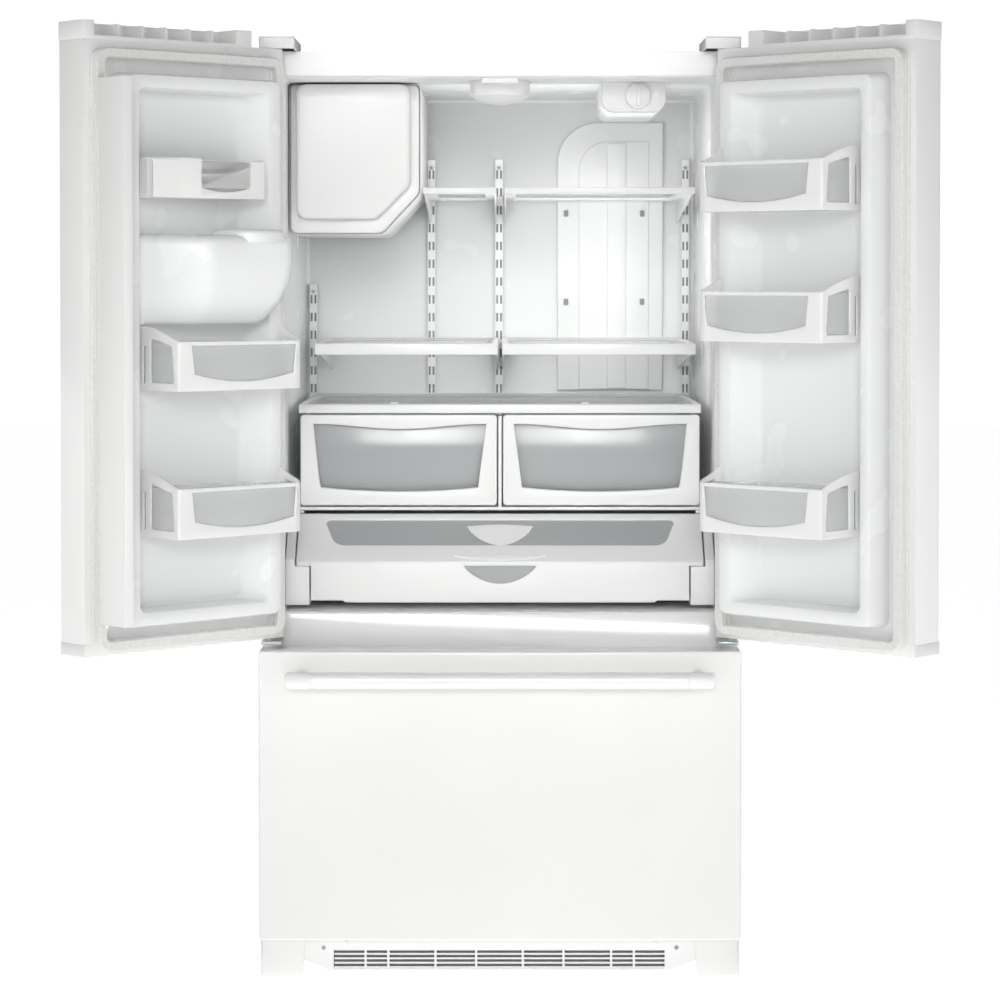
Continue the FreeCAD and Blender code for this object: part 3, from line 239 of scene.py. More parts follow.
def wrap(mesh, path):
    """Bends a flat front-lying plate round a plan path: X becomes distance along it, Y stays depth."""
    bm = bmesh.new()
    bm.from_mesh(mesh)
    lengths = [0.0]
    for one, two in zip(path, path[1:]):
        lengths.append(lengths[-1] + (two - one).length)
    for distance in lengths[1:-1]:
        geometry = [*bm.verts, *bm.edges, *bm.faces]
        bmesh.ops.bisect_plane(bm, geom=geometry, plane_co=(distance, 0, 0), plane_no=(1, 0, 0), dist=1e-4)
    runs = [(two - one).normalized() for one, two in zip(path, path[1:])]
    joints = [runs[0]] + [(one + two).normalized() for one, two in zip(runs, runs[1:])] + [runs[-1]]
    for vertex in bm.verts:
        distance = min(max(vertex.co.x, 0), lengths[-1])
        spot = max(k for k in range(len(runs)) if lengths[k] <= distance + 1e-6)
        share = (distance - lengths[spot]) / (lengths[spot + 1] - lengths[spot])
        place = path[spot].lerp(path[spot + 1], share)
        heading = joints[spot].lerp(joints[spot + 1], share).normalized()
        outward = Vector((-heading.y, heading.x)) * vertex.co.y
        vertex.co = Vector((place.x + outward.x, place.y + outward.y, vertex.co.z))
    return mesh_from(bm)


# --- finishes -------------------------------------------------------------------------------


def linear(code):
    """An sRGB colour such as F4F4F2 as linear numbers."""
    parts = [int(code[k:k + 2], 16) / 255 for k in (0, 2, 4)]
    return [p / 12.92 if p <= 0.04045 else ((p + 0.055) / 1.055) ** 2.4 for p in parts] + [1.0]


def add(tree, kind, values=None, links=None, **settings):
    """Adds a node with its settings, its sockets' values and the links into it."""
    node = tree.nodes.new(kind)
    for name, value in settings.items():
        setattr(node, name, value)
    for name, value in (values or {}).items():
        node.inputs[name].default_value = value
    for name, socket in (links or {}).items():
        tree.links.new(socket, node.inputs[name])
    return node


def finish(name, colour, **sockets):
    """A material on a Principled shader, with its tree, shader and Object coordinates in millimetres."""
    material = bpy.data.materials.new(name)
    material.use_nodes = True
    tree = material.node_tree
    shader = tree.nodes["Principled BSDF"]
    shader.inputs["Base Color"].default_value = linear(colour)
    for socket, value in sockets.items():
        shader.inputs[socket.replace("_", " ").title().replace("Ior", "IOR")].default_value = value
    place = add(tree, "ShaderNodeTexCoord")
    scaled = add(tree, "ShaderNodeVectorMath", {1: (1000, 1000, 1000)}, {0: place.outputs["Object"]},
                 operation="MULTIPLY")
    return material, tree, shader, scaled.outputs[0]


def grained(tree, shader, where, grain, depth, detail=2.0, softness=0.5):
    """Surface relief from noise whose grains are that many millimetres across."""
    noise = add(tree, "ShaderNodeTexNoise", {"Scale": 1 / grain, "Detail": detail, "Roughness": softness},
                {"Vector": where})
    bump = add(tree, "ShaderNodeBump", {"Strength": 1.0, "Distance": depth * 0.001},
               {"Height": noise.outputs["Fac"]})
    tree.links.new(bump.outputs["Normal"], shader.inputs["Normal"])
    return noise.outputs["Fac"]


def varied(tree, shader, socket, source, low, high):
    """Drives a socket between two numbers by a pattern."""
    spread = add(tree, "ShaderNodeMapRange", {"From Min": 0.3, "From Max": 0.7, "To Min": low,
                                              "To Max": high},
                 {"Value": source})
    tree.links.new(spread.outputs["Result"], shader.inputs[socket])


def tinted(tree, shader, source, low, high):
    """Base colour between two codes by a pattern."""
    ramp = add(tree, "ShaderNodeValToRGB", None, {"Fac": source})
    ramp.color_ramp.elements[0].position = 0.3
    ramp.color_ramp.elements[0].color = linear(low)
    ramp.color_ramp.elements[1].position = 0.7
    ramp.color_ramp.elements[1].color = linear(high)
    tree.links.new(ramp.outputs["Color"], shader.inputs["Base Color"])


def enamel():
    """Baked white enamel on sheet steel: high gloss over a faint orange peel."""
    made, tree, shader, where = finish("baked_white_enamel", "F6F6F5", roughness=0.16, coat_weight=0.3,
                                       coat_roughness=0.05)
    peel = grained(tree, shader, where, 5.0, 0.012)
    varied(tree, shader, "Roughness", peel, 0.14, 0.2)
    cloud = add(tree, "ShaderNodeTexNoise", {"Scale": 1 / 400}, {"Vector": where})
    tinted(tree, shader, cloud.outputs["Fac"], "F4F4F3", "F8F8F7")
    return made


def formed_polystyrene():
    """Vacuum-formed white polystyrene: glossy, with the slow waves of a stretched sheet."""
    made, tree, shader, where = finish("vacuum_formed_polystyrene", "F2F3F3", roughness=0.24)
    wave = grained(tree, shader, where, 90.0, 0.04, detail=1.0)
    varied(tree, shader, "Roughness", wave, 0.26, 0.275)
    return made


def moulded_abs():
    """Injection-moulded white ABS: a satin gloss that wanders faintly where the melt has flowed."""
    made, tree, shader, where = finish("moulded_white_abs", "F3F3F2", roughness=0.28)
    flow = grained(tree, shader, where, 22.0, 0.006)
    varied(tree, shader, "Roughness", flow, 0.285, 0.3)
    return made


def textured_abs():
    """White ABS from a spark-eroded mould: a fine matt grain, drawn 2 mm coarse so that it shows."""
    made, tree, shader, where = finish("textured_white_abs", "EFEFEE", roughness=0.5)
    grain = grained(tree, shader, where, 2.0, 0.05, detail=3.0)
    varied(tree, shader, "Roughness", grain, 0.44, 0.58)
    tinted(tree, shader, grain, "EDEDEC", "F1F1F0")
    return made


def clear_polystyrene():
    """Clear crystal polystyrene, slightly grey: see-through, with sharp highlights and flow waves."""
    made, tree, shader, where = finish("clear_polystyrene", "E8EAEA", roughness=0.08, alpha=0.36, ior=1.59)
    flow = grained(tree, shader, where, 45.0, 0.06, detail=1.0)
    varied(tree, shader, "Roughness", flow, 0.05, 0.12)
    return made


def smoked_polystyrene():
    """Clear polystyrene with a smoke-grey tint, as crisper and grip windows have."""
    made, tree, shader, where = finish("smoked_polystyrene", "C8CBCB", roughness=0.14, alpha=0.62, ior=1.59)
    flow = grained(tree, shader, where, 60.0, 0.05, detail=1.0)
    varied(tree, shader, "Roughness", flow, 0.1, 0.2)
    return made


def frosted_diffuser():
    """Opal white styrene of a lamp lens: lets light through but hides the bulb."""
    made, tree, shader, where = finish("opal_styrene", "FBFBFA", roughness=0.35, alpha=0.9)
    flow = grained(tree, shader, where, 12.0, 0.03)
    varied(tree, shader, "Roughness", flow, 0.3, 0.42)
    return made


def tempered_glass():
    """Tempered float glass: nearly colourless, faintly green, with a hard polish."""
    made, tree, shader, where = finish("tempered_float_glass", "D3DBD8", roughness=0.03, alpha=0.3, ior=1.52)
    roll = grained(tree, shader, where, 120.0, 0.02, detail=0.0)
    varied(tree, shader, "Roughness", roll, 0.02, 0.05)
    return made


def soft_vinyl():
    """Extruded white vinyl: matt, soft and slightly warm."""
    made, tree, shader, where = finish("extruded_white_vinyl", "E6E6E3", roughness=0.55)
    grain = grained(tree, shader, where, 6.0, 0.05)
    tinted(tree, shader, grain, "E2E2DF", "EBEBE8")
    return made


def zinc_plate():
    """Zinc-plated steel: bright, with the patches of its spangle."""
    made, tree, shader, where = finish("zinc_plated_steel", "B9BCBF", roughness=0.35, metallic=1.0)
    spangle = add(tree, "ShaderNodeTexVoronoi", {"Scale": 1 / 14}, {"Vector": where})
    varied(tree, shader, "Roughness", spangle.outputs["Distance"], 0.28, 0.48)
    tinted(tree, shader, spangle.outputs["Distance"], "B2B6BA", "C6C9CB")
    return made


def black_enamel():
    """Black stoving enamel on pressings and tube, slightly orange-peeled."""
    made, tree, shader, where = finish("black_stoving_enamel", "151617", roughness=0.3)
    peel = grained(tree, shader, where, 4.0, 0.05)
    varied(tree, shader, "Roughness", peel, 0.24, 0.4)
    return made


def black_plastic():
    """Black moulded polypropylene with a dull skin."""
    made, tree, shader, where = finish("black_polypropylene", "1D1E1F", roughness=0.45)
    grain = grained(tree, shader, where, 3.0, 0.05)
    varied(tree, shader, "Roughness", grain, 0.4, 0.55)
    return made


def grey_plastic():
    """Mid-grey moulded nylon, dull and hard-wearing."""
    made, tree, shader, where = finish("grey_moulded_nylon", "8C8E90", roughness=0.42)
    grain = grained(tree, shader, where, 3.0, 0.04)
    tinted(tree, shader, grain, "86888A", "929496")
    return made


def blown_foam():
    """Poured polyurethane foam: pale yellow and finely cellular."""
    made, tree, shader, where = finish("polyurethane_foam", "E2D3A2", roughness=0.9)
    cells = grained(tree, shader, where, 2.5, 0.4, detail=4.0)
    tinted(tree, shader, cells, "D9C994", "E8DAAE")
    return made


FINISH = {
    "smoked": smoked_polystyrene(),
    "opal": frosted_diffuser(),
    "white_enamel_steel": enamel(),
    "white_liner": formed_polystyrene(),
    "white_plastic": moulded_abs(),
    "white_matte_plastic": textured_abs(),
    "clear_plastic": clear_polystyrene(),
    "tempered_glass": tempered_glass(),
    "white_vinyl": soft_vinyl(),
    "zinc_steel": zinc_plate(),
    "black_enamel_steel": black_enamel(),
    "black_plastic": black_plastic(),
    "grey_plastic": grey_plastic(),
    "foam": blown_foam(),
}


def piece(name, mesh, node, side=None, slot=None, coat=None, crease=35, first=True):
    """Puts a finished mesh in its place on the node's body, standing for that node."""
    slot = slot or SLOT_OF[node]
    mesh.name = name
    mesh.transform(PLACE[side])
    if side == LEFT:
        mesh.flip_normals()
    mesh.polygons.foreach_set("use_smooth", [True] * len(mesh.polygons))
    mesh.set_sharp_from_angle(angle=math.radians(crease))
    mesh.materials.clear()
    mesh.materials.append(FINISH[coat or slot])
    made = bpy.data.objects.new(name, mesh)
    bpy.context.scene.collection.objects.link(made)
    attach(made, BODY_OF[node])
    if first:
        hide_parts(node)
    return made


# --- doors ----------------------------------------------------------------------------------

# The liner's raised rim: across the door, up it, its height over the flange, and the dish's depth.
RIM_NEAR, RIM_FAR = 58, 408
RIM_BOTTOM, RIM_TOP = 692, 1687
RIM_STANDS = 57.5
DISH_DEPTH = 50
# The bins: across the door, from back to front, and each bin's floor and front lip.
BIN_NEAR, BIN_WAIST, BIN_FAR = 106, 340, 396
BIN_BACK, BIN_SHOULDER, BIN_FRONT = 98, 137, 219
BIN_LEVELS = {LEFT: ((855, 945), (1118, 1206)), RIGHT: ((855, 945), (1204, 1295), (1440, 1531))}
BIN_RISE = 28
BIN_WALL = 3.5
# The bar handles: the grip's radius and how far its posts stand in from its ends.
GRIP_RADIUS = 15.5
POST_INSET = 28


def door_liner(side):
    """The vacuum-formed inner door: flat flange, raised rim with drafted sides, and the dished middle."""
    low, high = extent(TAG[side] + "_door_liner", side)
    face, floor, flange = high.y, high.y - DISH_DEPTH, high.y - RIM_STANDS
    near, far, bottom, top = RIM_NEAR, RIM_FAR, RIM_BOTTOM, RIM_TOP
    rows = [
        (rectangle((low.x, high.x), (low.z, high.z), 4), flange - 3),
        (rectangle((low.x, high.x), (low.z, high.z), 4), flange),
        (rectangle((near - 4, far + 4), (bottom - 4, top + 4), 20), flange),
        (rectangle((near - 1, far + 1), (bottom - 1, top + 1), 19), flange + 2),
        (rectangle((near + 3, far - 3), (bottom + 3, top - 3), 17), face - 6),
        (rectangle((near + 5, far - 5), (bottom + 5, top - 5), 16), face - 1.5),
        (rectangle((near + 9, far - 9), (bottom + 9, top - 9), 14), face),
        (rectangle((near + 22, far - 26), (bottom + 22, top - 22), 14), face),
        (rectangle((near + 26, far - 31), (bottom + 27, top - 27), 14), face - 1.5),
        (rectangle((near + 29, far - 35), (bottom + 30, top - 30), 15), face - 7),
        (rectangle((near + 32, far - 58), (bottom + 34, top - 34), 20), floor + 6),
        (rectangle((near + 35, far - 64), (bottom + 38, top - 38), 22), floor + 1.5),
        (rectangle((near + 42, far - 72), (bottom + 46, top - 46), 24), floor),
    ]
    piece(TAG[side] + "_liner", loft(layers("front", rows)), TAG[side] + "_door_liner", side)


def door_gasket(side):
    """A bellows gasket round the flange."""
    low, high = extent(TAG[side] + "_door_gasket", side)
    bellows = [(0, 0), (0, 3), (3, 6), (1, 11), (3, 15), (0, 19), (0, 24), (2, 26.5), (16, 26.5), (18, 24),
               (18, 19), (15, 15), (17, 11), (15, 6), (18, 3), (18, 0)]
    rows = []
    for inset, rise in bellows:
        ring = rectangle((low.x + inset, high.x - inset), (low.z + inset, high.z - inset), 26 - inset)
        rows.append((ring, low.y + rise))
    piece(TAG[side] + "_gasket", loft(layers("front", rows), closed=True), TAG[side] + "_door_gasket", side)


def bar_handle(bar_start, along, length, radius, out, feet):
    """A round grip whose ends are closed by caps over a ring joint, carried by two posts."""
    cap, groove = 50, 1.2
    profile = [(0, radius * 0.55), (1.5, radius * 0.8), (5, radius * 0.97), (8, radius), (cap - 1.5, radius),
               (cap - 1, radius - groove), (cap + 1, radius - groove), (cap + 1.5, radius)]
    mirrored = [(length - distance, size) for distance, size in reversed(profile)]
    grip = turned(profile + mirrored, bar_start, along)
    posts = []
    for foot in feet:
        rows = [(0, 14), (1.5, 13.4), (5, 11.2), (out - 14, 10.5), (out, 10.5)]
        posts.append(turned(rows, foot, (0, -1, 0)))
    return joined(grip, *posts)


def door_handle(side):
    node = TAG[side] + "_door_handle"
    low, high = extent(node, side)
    x, y = (low.x + high.x) / 2, low.y + GRIP_RADIUS
    feet = [(x, 0, low.z + POST_INSET), (x, 0, high.z - POST_INSET)]
    grip = bar_handle((x, y, low.z), (0, 0, 1), high.z - low.z, GRIP_RADIUS, -y, feet)
    piece(TAG[side] + "_handle", grip, node, side)


def bin_frame(low, high, near, far, back, shoulder, front):
    """The white wall of a door bin: one plate with windows, wrapped round its near end, front and far end."""
    plan = outline((near, back, 0), (near, front, 5), (far, front, 30), (far, shoulder, 0), steps=8)
    path = [Vector((point.x, point.y)) for point in plan]
    total = sum((two - one).length for one, two in zip(path, path[1:]))
    depth = front - back
    start, end = depth - 2, total - (front - shoulder) + 2
    rim = [Vector((0, low)), Vector((total, low))]
    rim += [Vector((total - (front - shoulder) * k / 8, high + BIN_RISE * (1 - k / 8) ** 1.6))
            for k in range(9)]
    rim += [Vector((start - start * k / 8, high + BIN_RISE * math.sin(math.pi / 2 * k / 8)))
            for k in range(9)]
    front_window = bowed((start + 36, low + 30), (end - 18, low + 30), 14)
    front_window += [Vector((end - 12, high - 7)), Vector((start + 30, high - 7))]
    near_window = outline((36, low + 14, 5), (depth - 14, low + 14, 5), (depth - 20, high - 8, 5),
                          (36, high + 6, 5))
    slit = outline((14, low + 12, 2), (20, low + 12, 2), (20, high - 8, 2), (14, high - 8, 2), steps=3)
    far_window = outline((end + 14, low + 26, 4), (total - 18, low + 26, 4), (total - 18, high + 4, 4),
                         (end + 14, high - 8, 4))
    flat = plate("front", [rim, front_window, near_window, slit, far_window], -BIN_WALL, 0, 1.2)
    return wrap(flat, path)


def bin_tub(low, high, near, far, back, shoulder, front, waist):
    """The clear tray inside the white wall."""
    inset = BIN_WALL + 0.4

    def plan(shrink):
        grow = inset + shrink
        return outline(
            (near + grow, back + grow, 4), (near + grow, front - grow, 5), (far - grow, front - grow, 26),
            (far - grow, shoulder + grow, 6), (waist - grow, shoulder + grow, 6),
            (waist - grow, back + grow, 4),
        )

    rows = [
        (plan(4), low + 1), (plan(1), low + 2), (plan(0), low + 5), (plan(0), high - 3),
        (plan(0.6), high - 2),
        (plan(1.9), high - 2), (plan(2.5), high - 3), (plan(2.5), low + 6), (plan(4.5), low + 4),
    ]
    return loft(layers("top", rows))


def door_bins(side):
    """A white wall and a clear tray for each bin of a door."""
    near, far, back, shoulder, front = BIN_NEAR, BIN_FAR, BIN_BACK, BIN_SHOULDER, BIN_FRONT
    levels = BIN_LEVELS[side]
    node = TAG[side] + "_door_bins"
    frames = joined(*[bin_frame(low, high, near, far, back, shoulder, front) for low, high in levels])
    tubs = joined(*[bin_tub(low, high, near, far, back, shoulder, front, BIN_WAIST) for low, high in levels])
    piece(TAG[side] + "_bin_frames", frames, node, side, slot="white_plastic")
    piece(TAG[side] + "_bin_tubs", tubs, node, side, first=False)


for side in (LEFT, RIGHT):
    door_liner(side)
    door_gasket(side)
    door_handle(side)
    door_bins(side)
    piece(TAG[side] + "_skin", drawn_again(TAG[side] + "_door_skin", 0.7, side), TAG[side] + "_door_skin",
          side)
    piece(TAG[side] + "_caps", drawn_again(TAG[side] + "_door_caps", 1.0, side), TAG[side] + "_door_caps",
          side)

# --- patterns that repeat ---------------------------------------------------------------------


def pattern_tree(name, sizes):
    """An empty Geometry Nodes tree with named number inputs; returns it with its input node."""
    tree = bpy.data.node_groups.new(name, "GeometryNodeTree")
    tree.interface.new_socket("Geometry", in_out="INPUT", socket_type="NodeSocketGeometry")
    for size in sizes:
        tree.interface.new_socket(size, in_out="INPUT", socket_type="NodeSocketFloat")
    tree.interface.new_socket("Geometry", in_out="OUTPUT", socket_type="NodeSocketGeometry")
    return tree, add(tree, "NodeGroupInput")


def maths(tree, operation, one, two):
    """One arithmetic node; each term is a socket or a number."""
    node = add(tree, "ShaderNodeMath", operation=operation)
    for slot, term in enumerate((one, two)):
        if isinstance(term, bpy.types.NodeSocket):
            tree.links.new(term, node.inputs[slot])
        else:
            node.inputs[slot].default_value = term
    return node.outputs[0]


def joined_xyz(tree, x=None, y=None, z=None):
    links = {axis: socket for axis, socket in (("X", x), ("Y", y), ("Z", z)) if socket}
    return add(tree, "ShaderNodeCombineXYZ", None, links).outputs[0]


def ended(tree, geometry, material):
    """Realizes, paints and outputs the geometry."""
    real = add(tree, "GeometryNodeRealizeInstances", None, {"Geometry": geometry})
    painted = add(tree, "GeometryNodeSetMaterial", {"Material": material}, {"Geometry": real.outputs[0]})
    add(tree, "NodeGroupOutput", None, {"Geometry": painted.outputs[0]})
    return tree


def perforated_plate_tree(material):
    """A plate along X and Z, cut through by a grid of slots centred on it."""
    names = ["Width", "Depth", "Height", "Slot width", "Slot height", "Columns", "Rows", "Column pitch",
             "Row pitch"]
    tree, given = pattern_tree("perforated_plate", names)
    g = given.outputs
    body = add(tree, "GeometryNodeMeshCube", None,
               {"Size": joined_xyz(tree, g["Width"], g["Depth"], g["Height"])})
    deep = maths(tree, "MULTIPLY", g["Depth"], 3.0)
    slot_size = joined_xyz(tree, g["Slot width"], deep, g["Slot height"])
    slot = add(tree, "GeometryNodeMeshCube", None, {"Size": slot_size})
    spans = [
        maths(tree, "MULTIPLY", maths(tree, "SUBTRACT", g[count], 1.0), g[pitch])
        for count, pitch in (("Columns", "Column pitch"), ("Rows", "Row pitch"))
    ]
    grid = add(tree, "GeometryNodeMeshGrid", None, {
        "Size X": spans[0], "Size Y": spans[1], "Vertices X": g["Columns"], "Vertices Y": g["Rows"],
    })
    upright = add(tree, "GeometryNodeTransform", {"Rotation": (math.pi / 2, 0, 0)},
                  {"Geometry": grid.outputs["Mesh"]})
    slots = add(tree, "GeometryNodeInstanceOnPoints", None, {
        "Points": upright.outputs[0], "Instance": slot.outputs["Mesh"],
    })
    cut = add(tree, "GeometryNodeMeshBoolean", None,
              {"Mesh 1": body.outputs["Mesh"], "Mesh 2": slots.outputs[0]},
              operation="DIFFERENCE", solver="EXACT")
    return ended(tree, cut.outputs["Mesh"], material)


def louvre_tree(material):
    """Round-edged slats along X, stacked upwards and tipped so that they shed what falls on them."""
    tree, given = pattern_tree("louvres", ["Length", "Depth", "Thickness", "Rows", "Pitch", "Tilt"])
    g = given.outputs
    half = maths(tree, "MULTIPLY", g["Length"], 0.5)
    line = add(tree, "GeometryNodeCurvePrimitiveLine", None, {
        "Start": joined_xyz(tree, maths(tree, "MULTIPLY", half, -1.0)), "End": joined_xyz(tree, half),
    })
    section = add(tree, "GeometryNodeCurvePrimitiveQuadrilateral", None, {
        "Width": g["Depth"], "Height": g["Thickness"],
    })
    soft = add(tree, "GeometryNodeFilletCurve", None, {
        "Curve": section.outputs[0], "Radius": maths(tree, "MULTIPLY", g["Thickness"], 0.4),
    }, mode="POLY")
    soft.inputs["Count"].default_value = 2
    slat = add(tree, "GeometryNodeCurveToMesh", {"Fill Caps": True}, {
        "Curve": line.outputs[0], "Profile Curve": soft.outputs[0],
    })
    rows = add(tree, "GeometryNodeMeshLine", None,
               {"Count": g["Rows"], "Offset": joined_xyz(tree, z=g["Pitch"])})
    stack = add(tree, "GeometryNodeInstanceOnPoints", None, {
        "Points": rows.outputs[0], "Instance": slat.outputs[0], "Rotation": joined_xyz(tree, g["Tilt"]),
    })
    return ended(tree, stack.outputs[0], material)


def scattered_tree(material, item):
    """A copy of one small item on every vertex, turned about Z by Turn."""
    tree, given = pattern_tree("scattered", ["Turn"])
    source = add(tree, "GeometryNodeObjectInfo", {"Object": item})
    copies = add(tree, "GeometryNodeInstanceOnPoints", None, {
        "Points": given.outputs["Geometry"], "Instance": source.outputs["Geometry"],
        "Rotation": joined_xyz(tree, z=given.outputs["Turn"]),
    })
    return ended(tree, copies.outputs[0], material)


def grown(tree, sizes, base=None):
    """The plain mesh that a tree makes with these sizes, in millimetres."""
    holder = bpy.data.objects.new("grower", base or bpy.data.meshes.new("seed"))
    bpy.context.scene.collection.objects.link(holder)
    modifier = holder.modifiers.new("pattern", "NODES")
    modifier.node_group = tree
    for socket in tree.interface.items_tree:
        if socket.in_out == "INPUT" and socket.name in sizes:
            modifier[socket.identifier] = float(sizes[socket.name])
    depsgraph = bpy.context.evaluated_depsgraph_get()
    mesh = bpy.data.meshes.new_from_object(holder.evaluated_get(depsgraph), depsgraph=depsgraph)
    holder.modifiers.remove(modifier)
    bpy.data.objects.remove(holder)
    return mesh


def moved(mesh, x=0, y=0, z=0):
    mesh.transform(Matrix.Translation((x, y, z)))
    return mesh


# --- inside the left door ---------------------------------------------------------------------


def top_bin():
    """The small bin above the dispenser: a bulged white end, a clear window and a white far end."""
    node = "left_top_bin"
    low, high = extent(node, LEFT)
    x0, x1, y1, z0, z1 = low.x, high.x, high.y, low.z, high.z
    split, far = x0 + 106, x1 - 34
    window = bowed((split, z0 + 20), (far, z0 + 20), 8) + [Vector((far, z1 - 5)), Vector((split, z1 - 5))]
    front = plate("front", [rectangle((x0 + 1, x1), (z0, z1 - 3), 3), window], y1 - 7, y1 - 4, 1.2)
    bulge = plate("top", [
        [Vector((x0 + 0.5, low.y))] + [
            Vector((x0 + 0.5 + 104 * k / 12, y1 - 22 * (1 - k / 12) ** 2.2)) for k in range(13)
        ] + [Vector((split - 2, y1 - 12)), Vector((x0 + 4, y1 - 30)), Vector((x0 + 4, low.y))],
    ], z0, z1, 1.2)
    ends = [
        plate("side", [rectangle((low.y, y1 - 5), (z0, z1), 4)], x1 - 3.5, x1, 1.2),
        plate("front", [rectangle((x0 + 1, x1), (z0, z1), 3)], low.y, low.y + 3, 1.2),
        plate("top", [rectangle((x0 + 2, x1 - 1), (low.y + 1, y1 - 5), 4)], z0, z0 + 3, 1.2),
    ]
    piece("left_top_bin_frame", joined(front, bulge, *ends), node, LEFT, slot="white_plastic")
    pane = plate("front", [rectangle((split - 6, far + 6), (z0 + 8, z1 - 4), 3)], y1 - 10, y1 - 7.4, 1)
    piece("left_top_bin_window", pane, node, LEFT, first=False)


def dispenser_bulge():
    """The smooth hood over the ice chute, swelling out of the liner, with a flat ring on top."""
    node = "ice_chute"
    low, high = extent(node, LEFT)
    bottom, shoulder, top = low.z, high.z - 24, high.z - 10
    back, front = low.y + 1, 204
    mouth = (315, 151)

    def plan(near, far, depth, dip):
        return outline(
            (near, back, 1), (near + 4, back + 26 * dip, 20), (near + 100, depth - 14 * (1 - dip), 46),
            (far - 30, depth, 34), (far, depth - 34, 26), (far, 136, 6), (344, 136, 2), (344, back, 1),
            steps=8,
        )

    rows = [
        (plan(low.x + 10, 352, 160, 0.7), bottom),
        (plan(low.x + 6, 362, 172, 0.8), bottom + 8),
        (plan(low.x + 2, 384, 190, 0.95), bottom + 40),
        (plan(low.x, 398, 200, 1.0), bottom + 78),
        (plan(low.x, 402, front, 1.0), bottom + 110),
        (plan(low.x, 402, front, 1.0), shoulder - 4),
        (plan(low.x + 2, 400, front - 3, 1.0), shoulder + 5),
        (plan(low.x + 8, 396, front - 9, 0.95), top - 3),
        (plan(low.x + 18, 390, front - 18, 0.9), top),
    ]
    hood = loft(layers("top", rows))
    lip = [(66, -16), (66, 0), (64.5, 4), (61, 6.5), (56, 7.5), (51, 6.5), (47.5, 3.5), (46, -1), (46, -16)]
    rings = [[Vector((u, v, high.z - 8 + rise)) for u, v in circle(*mouth, radius)] for radius, rise in lip]
    ring = loft(rings, closed=True)
    piece("ice_chute_hood", hood, node, LEFT, crease=50)
    piece("ice_chute_ring", ring, node, LEFT, first=False)
    throat = loft([[Vector((u, v, z)) for u, v in circle(*mouth, 45.5)] for z in (top - 4, top + 1.5)])
    piece("ice_chute_door", throat, node, LEFT, coat="grey_plastic", first=False)


# --- fresh-food compartment -------------------------------------------------------------------


def ice_box():
    """The insulated ice box and, in front of it, the bin's round-cornered cover."""
    low, high = extent("ice_bin")
    x0, x1, z0, z1 = low.x, high.x, low.z, high.z
    chamfer = 66

    def cover(inset, round_by):
        return outline(
            (x0 + inset, z0 + inset, round_by), (x1 - chamfer - 0.4 * inset, z0 + inset, round_by),
            (x1 - inset, z0 + chamfer + 0.4 * inset, round_by), (x1 - inset, z1 - inset, round_by),
            (x0 + inset, z1 - inset, round_by),
        )

    rows = [(cover(0, 20), low.y + 30), (cover(0, 20), low.y + 7), (cover(1.2, 19), low.y + 3),
            (cover(4, 17), low.y + 0.8),
            (cover(8, 15), low.y)]
    face = loft(layers("front", rows))
    tub = eased(rear_of("ice_bin", low.y + 31), 1.0)
    piece("ice_bin_cover", joined(face, tub), "ice_bin", crease=40)
    low, high = extent("ice_maker_housing")
    corners = [(low.x + 0.5, high.z - 1, 10), (low.x + 0.5, low.z, 16), (-229, low.z, 26), (high.x, 1484, 26),
               (high.x, high.z - 1, 10)]
    inner = [(low.x + 5, high.z - 5, 8), (low.x + 5, low.z + 4.5, 12), (-231, low.z + 4.5, 22),
             (high.x - 4.5, 1486, 22),
             (high.x - 4.5, high.z - 5, 8)]
    edge = outline(*corners)
    wall = plate("front", [edge, outline(*inner)], low.y, high.y - 8, 1.5)
    back = plate("front", [edge], high.y - 9, high.y, 1.5)
    mouth = outline((-394, 1438, 4), (-243, 1438, 4), (-182, 1499, 4), (-182, 1644, 4), (-394, 1644, 4))
    flange = plate("front", [edge, mouth], low.y, low.y + 4, 1.2)
    piece("ice_box_housing", joined(wall, back, flange), "ice_maker_housing", crease=40)


def rear_of(node, behind):
    """The part of a CAD node that lies behind a depth, closed there."""
    bm = bmesh.new()
    source = frame["nodes"][node].data.copy()
    source.transform(HOME.inverted())
    bm.from_mesh(source)
    bmesh.ops.remove_doubles(bm, verts=bm.verts, dist=0.005)
    cut = bmesh.ops.bisect_plane(
        bm, geom=[*bm.verts, *bm.edges, *bm.faces], plane_co=(0, behind, 0), plane_no=(0, 1, 0),
        clear_inner=True,
    )
    edges = [item for item in cut["geom_cut"] if isinstance(item, bmesh.types.BMEdge)]
    bmesh.ops.holes_fill(bm, edges=edges)
    return mesh_from(bm)


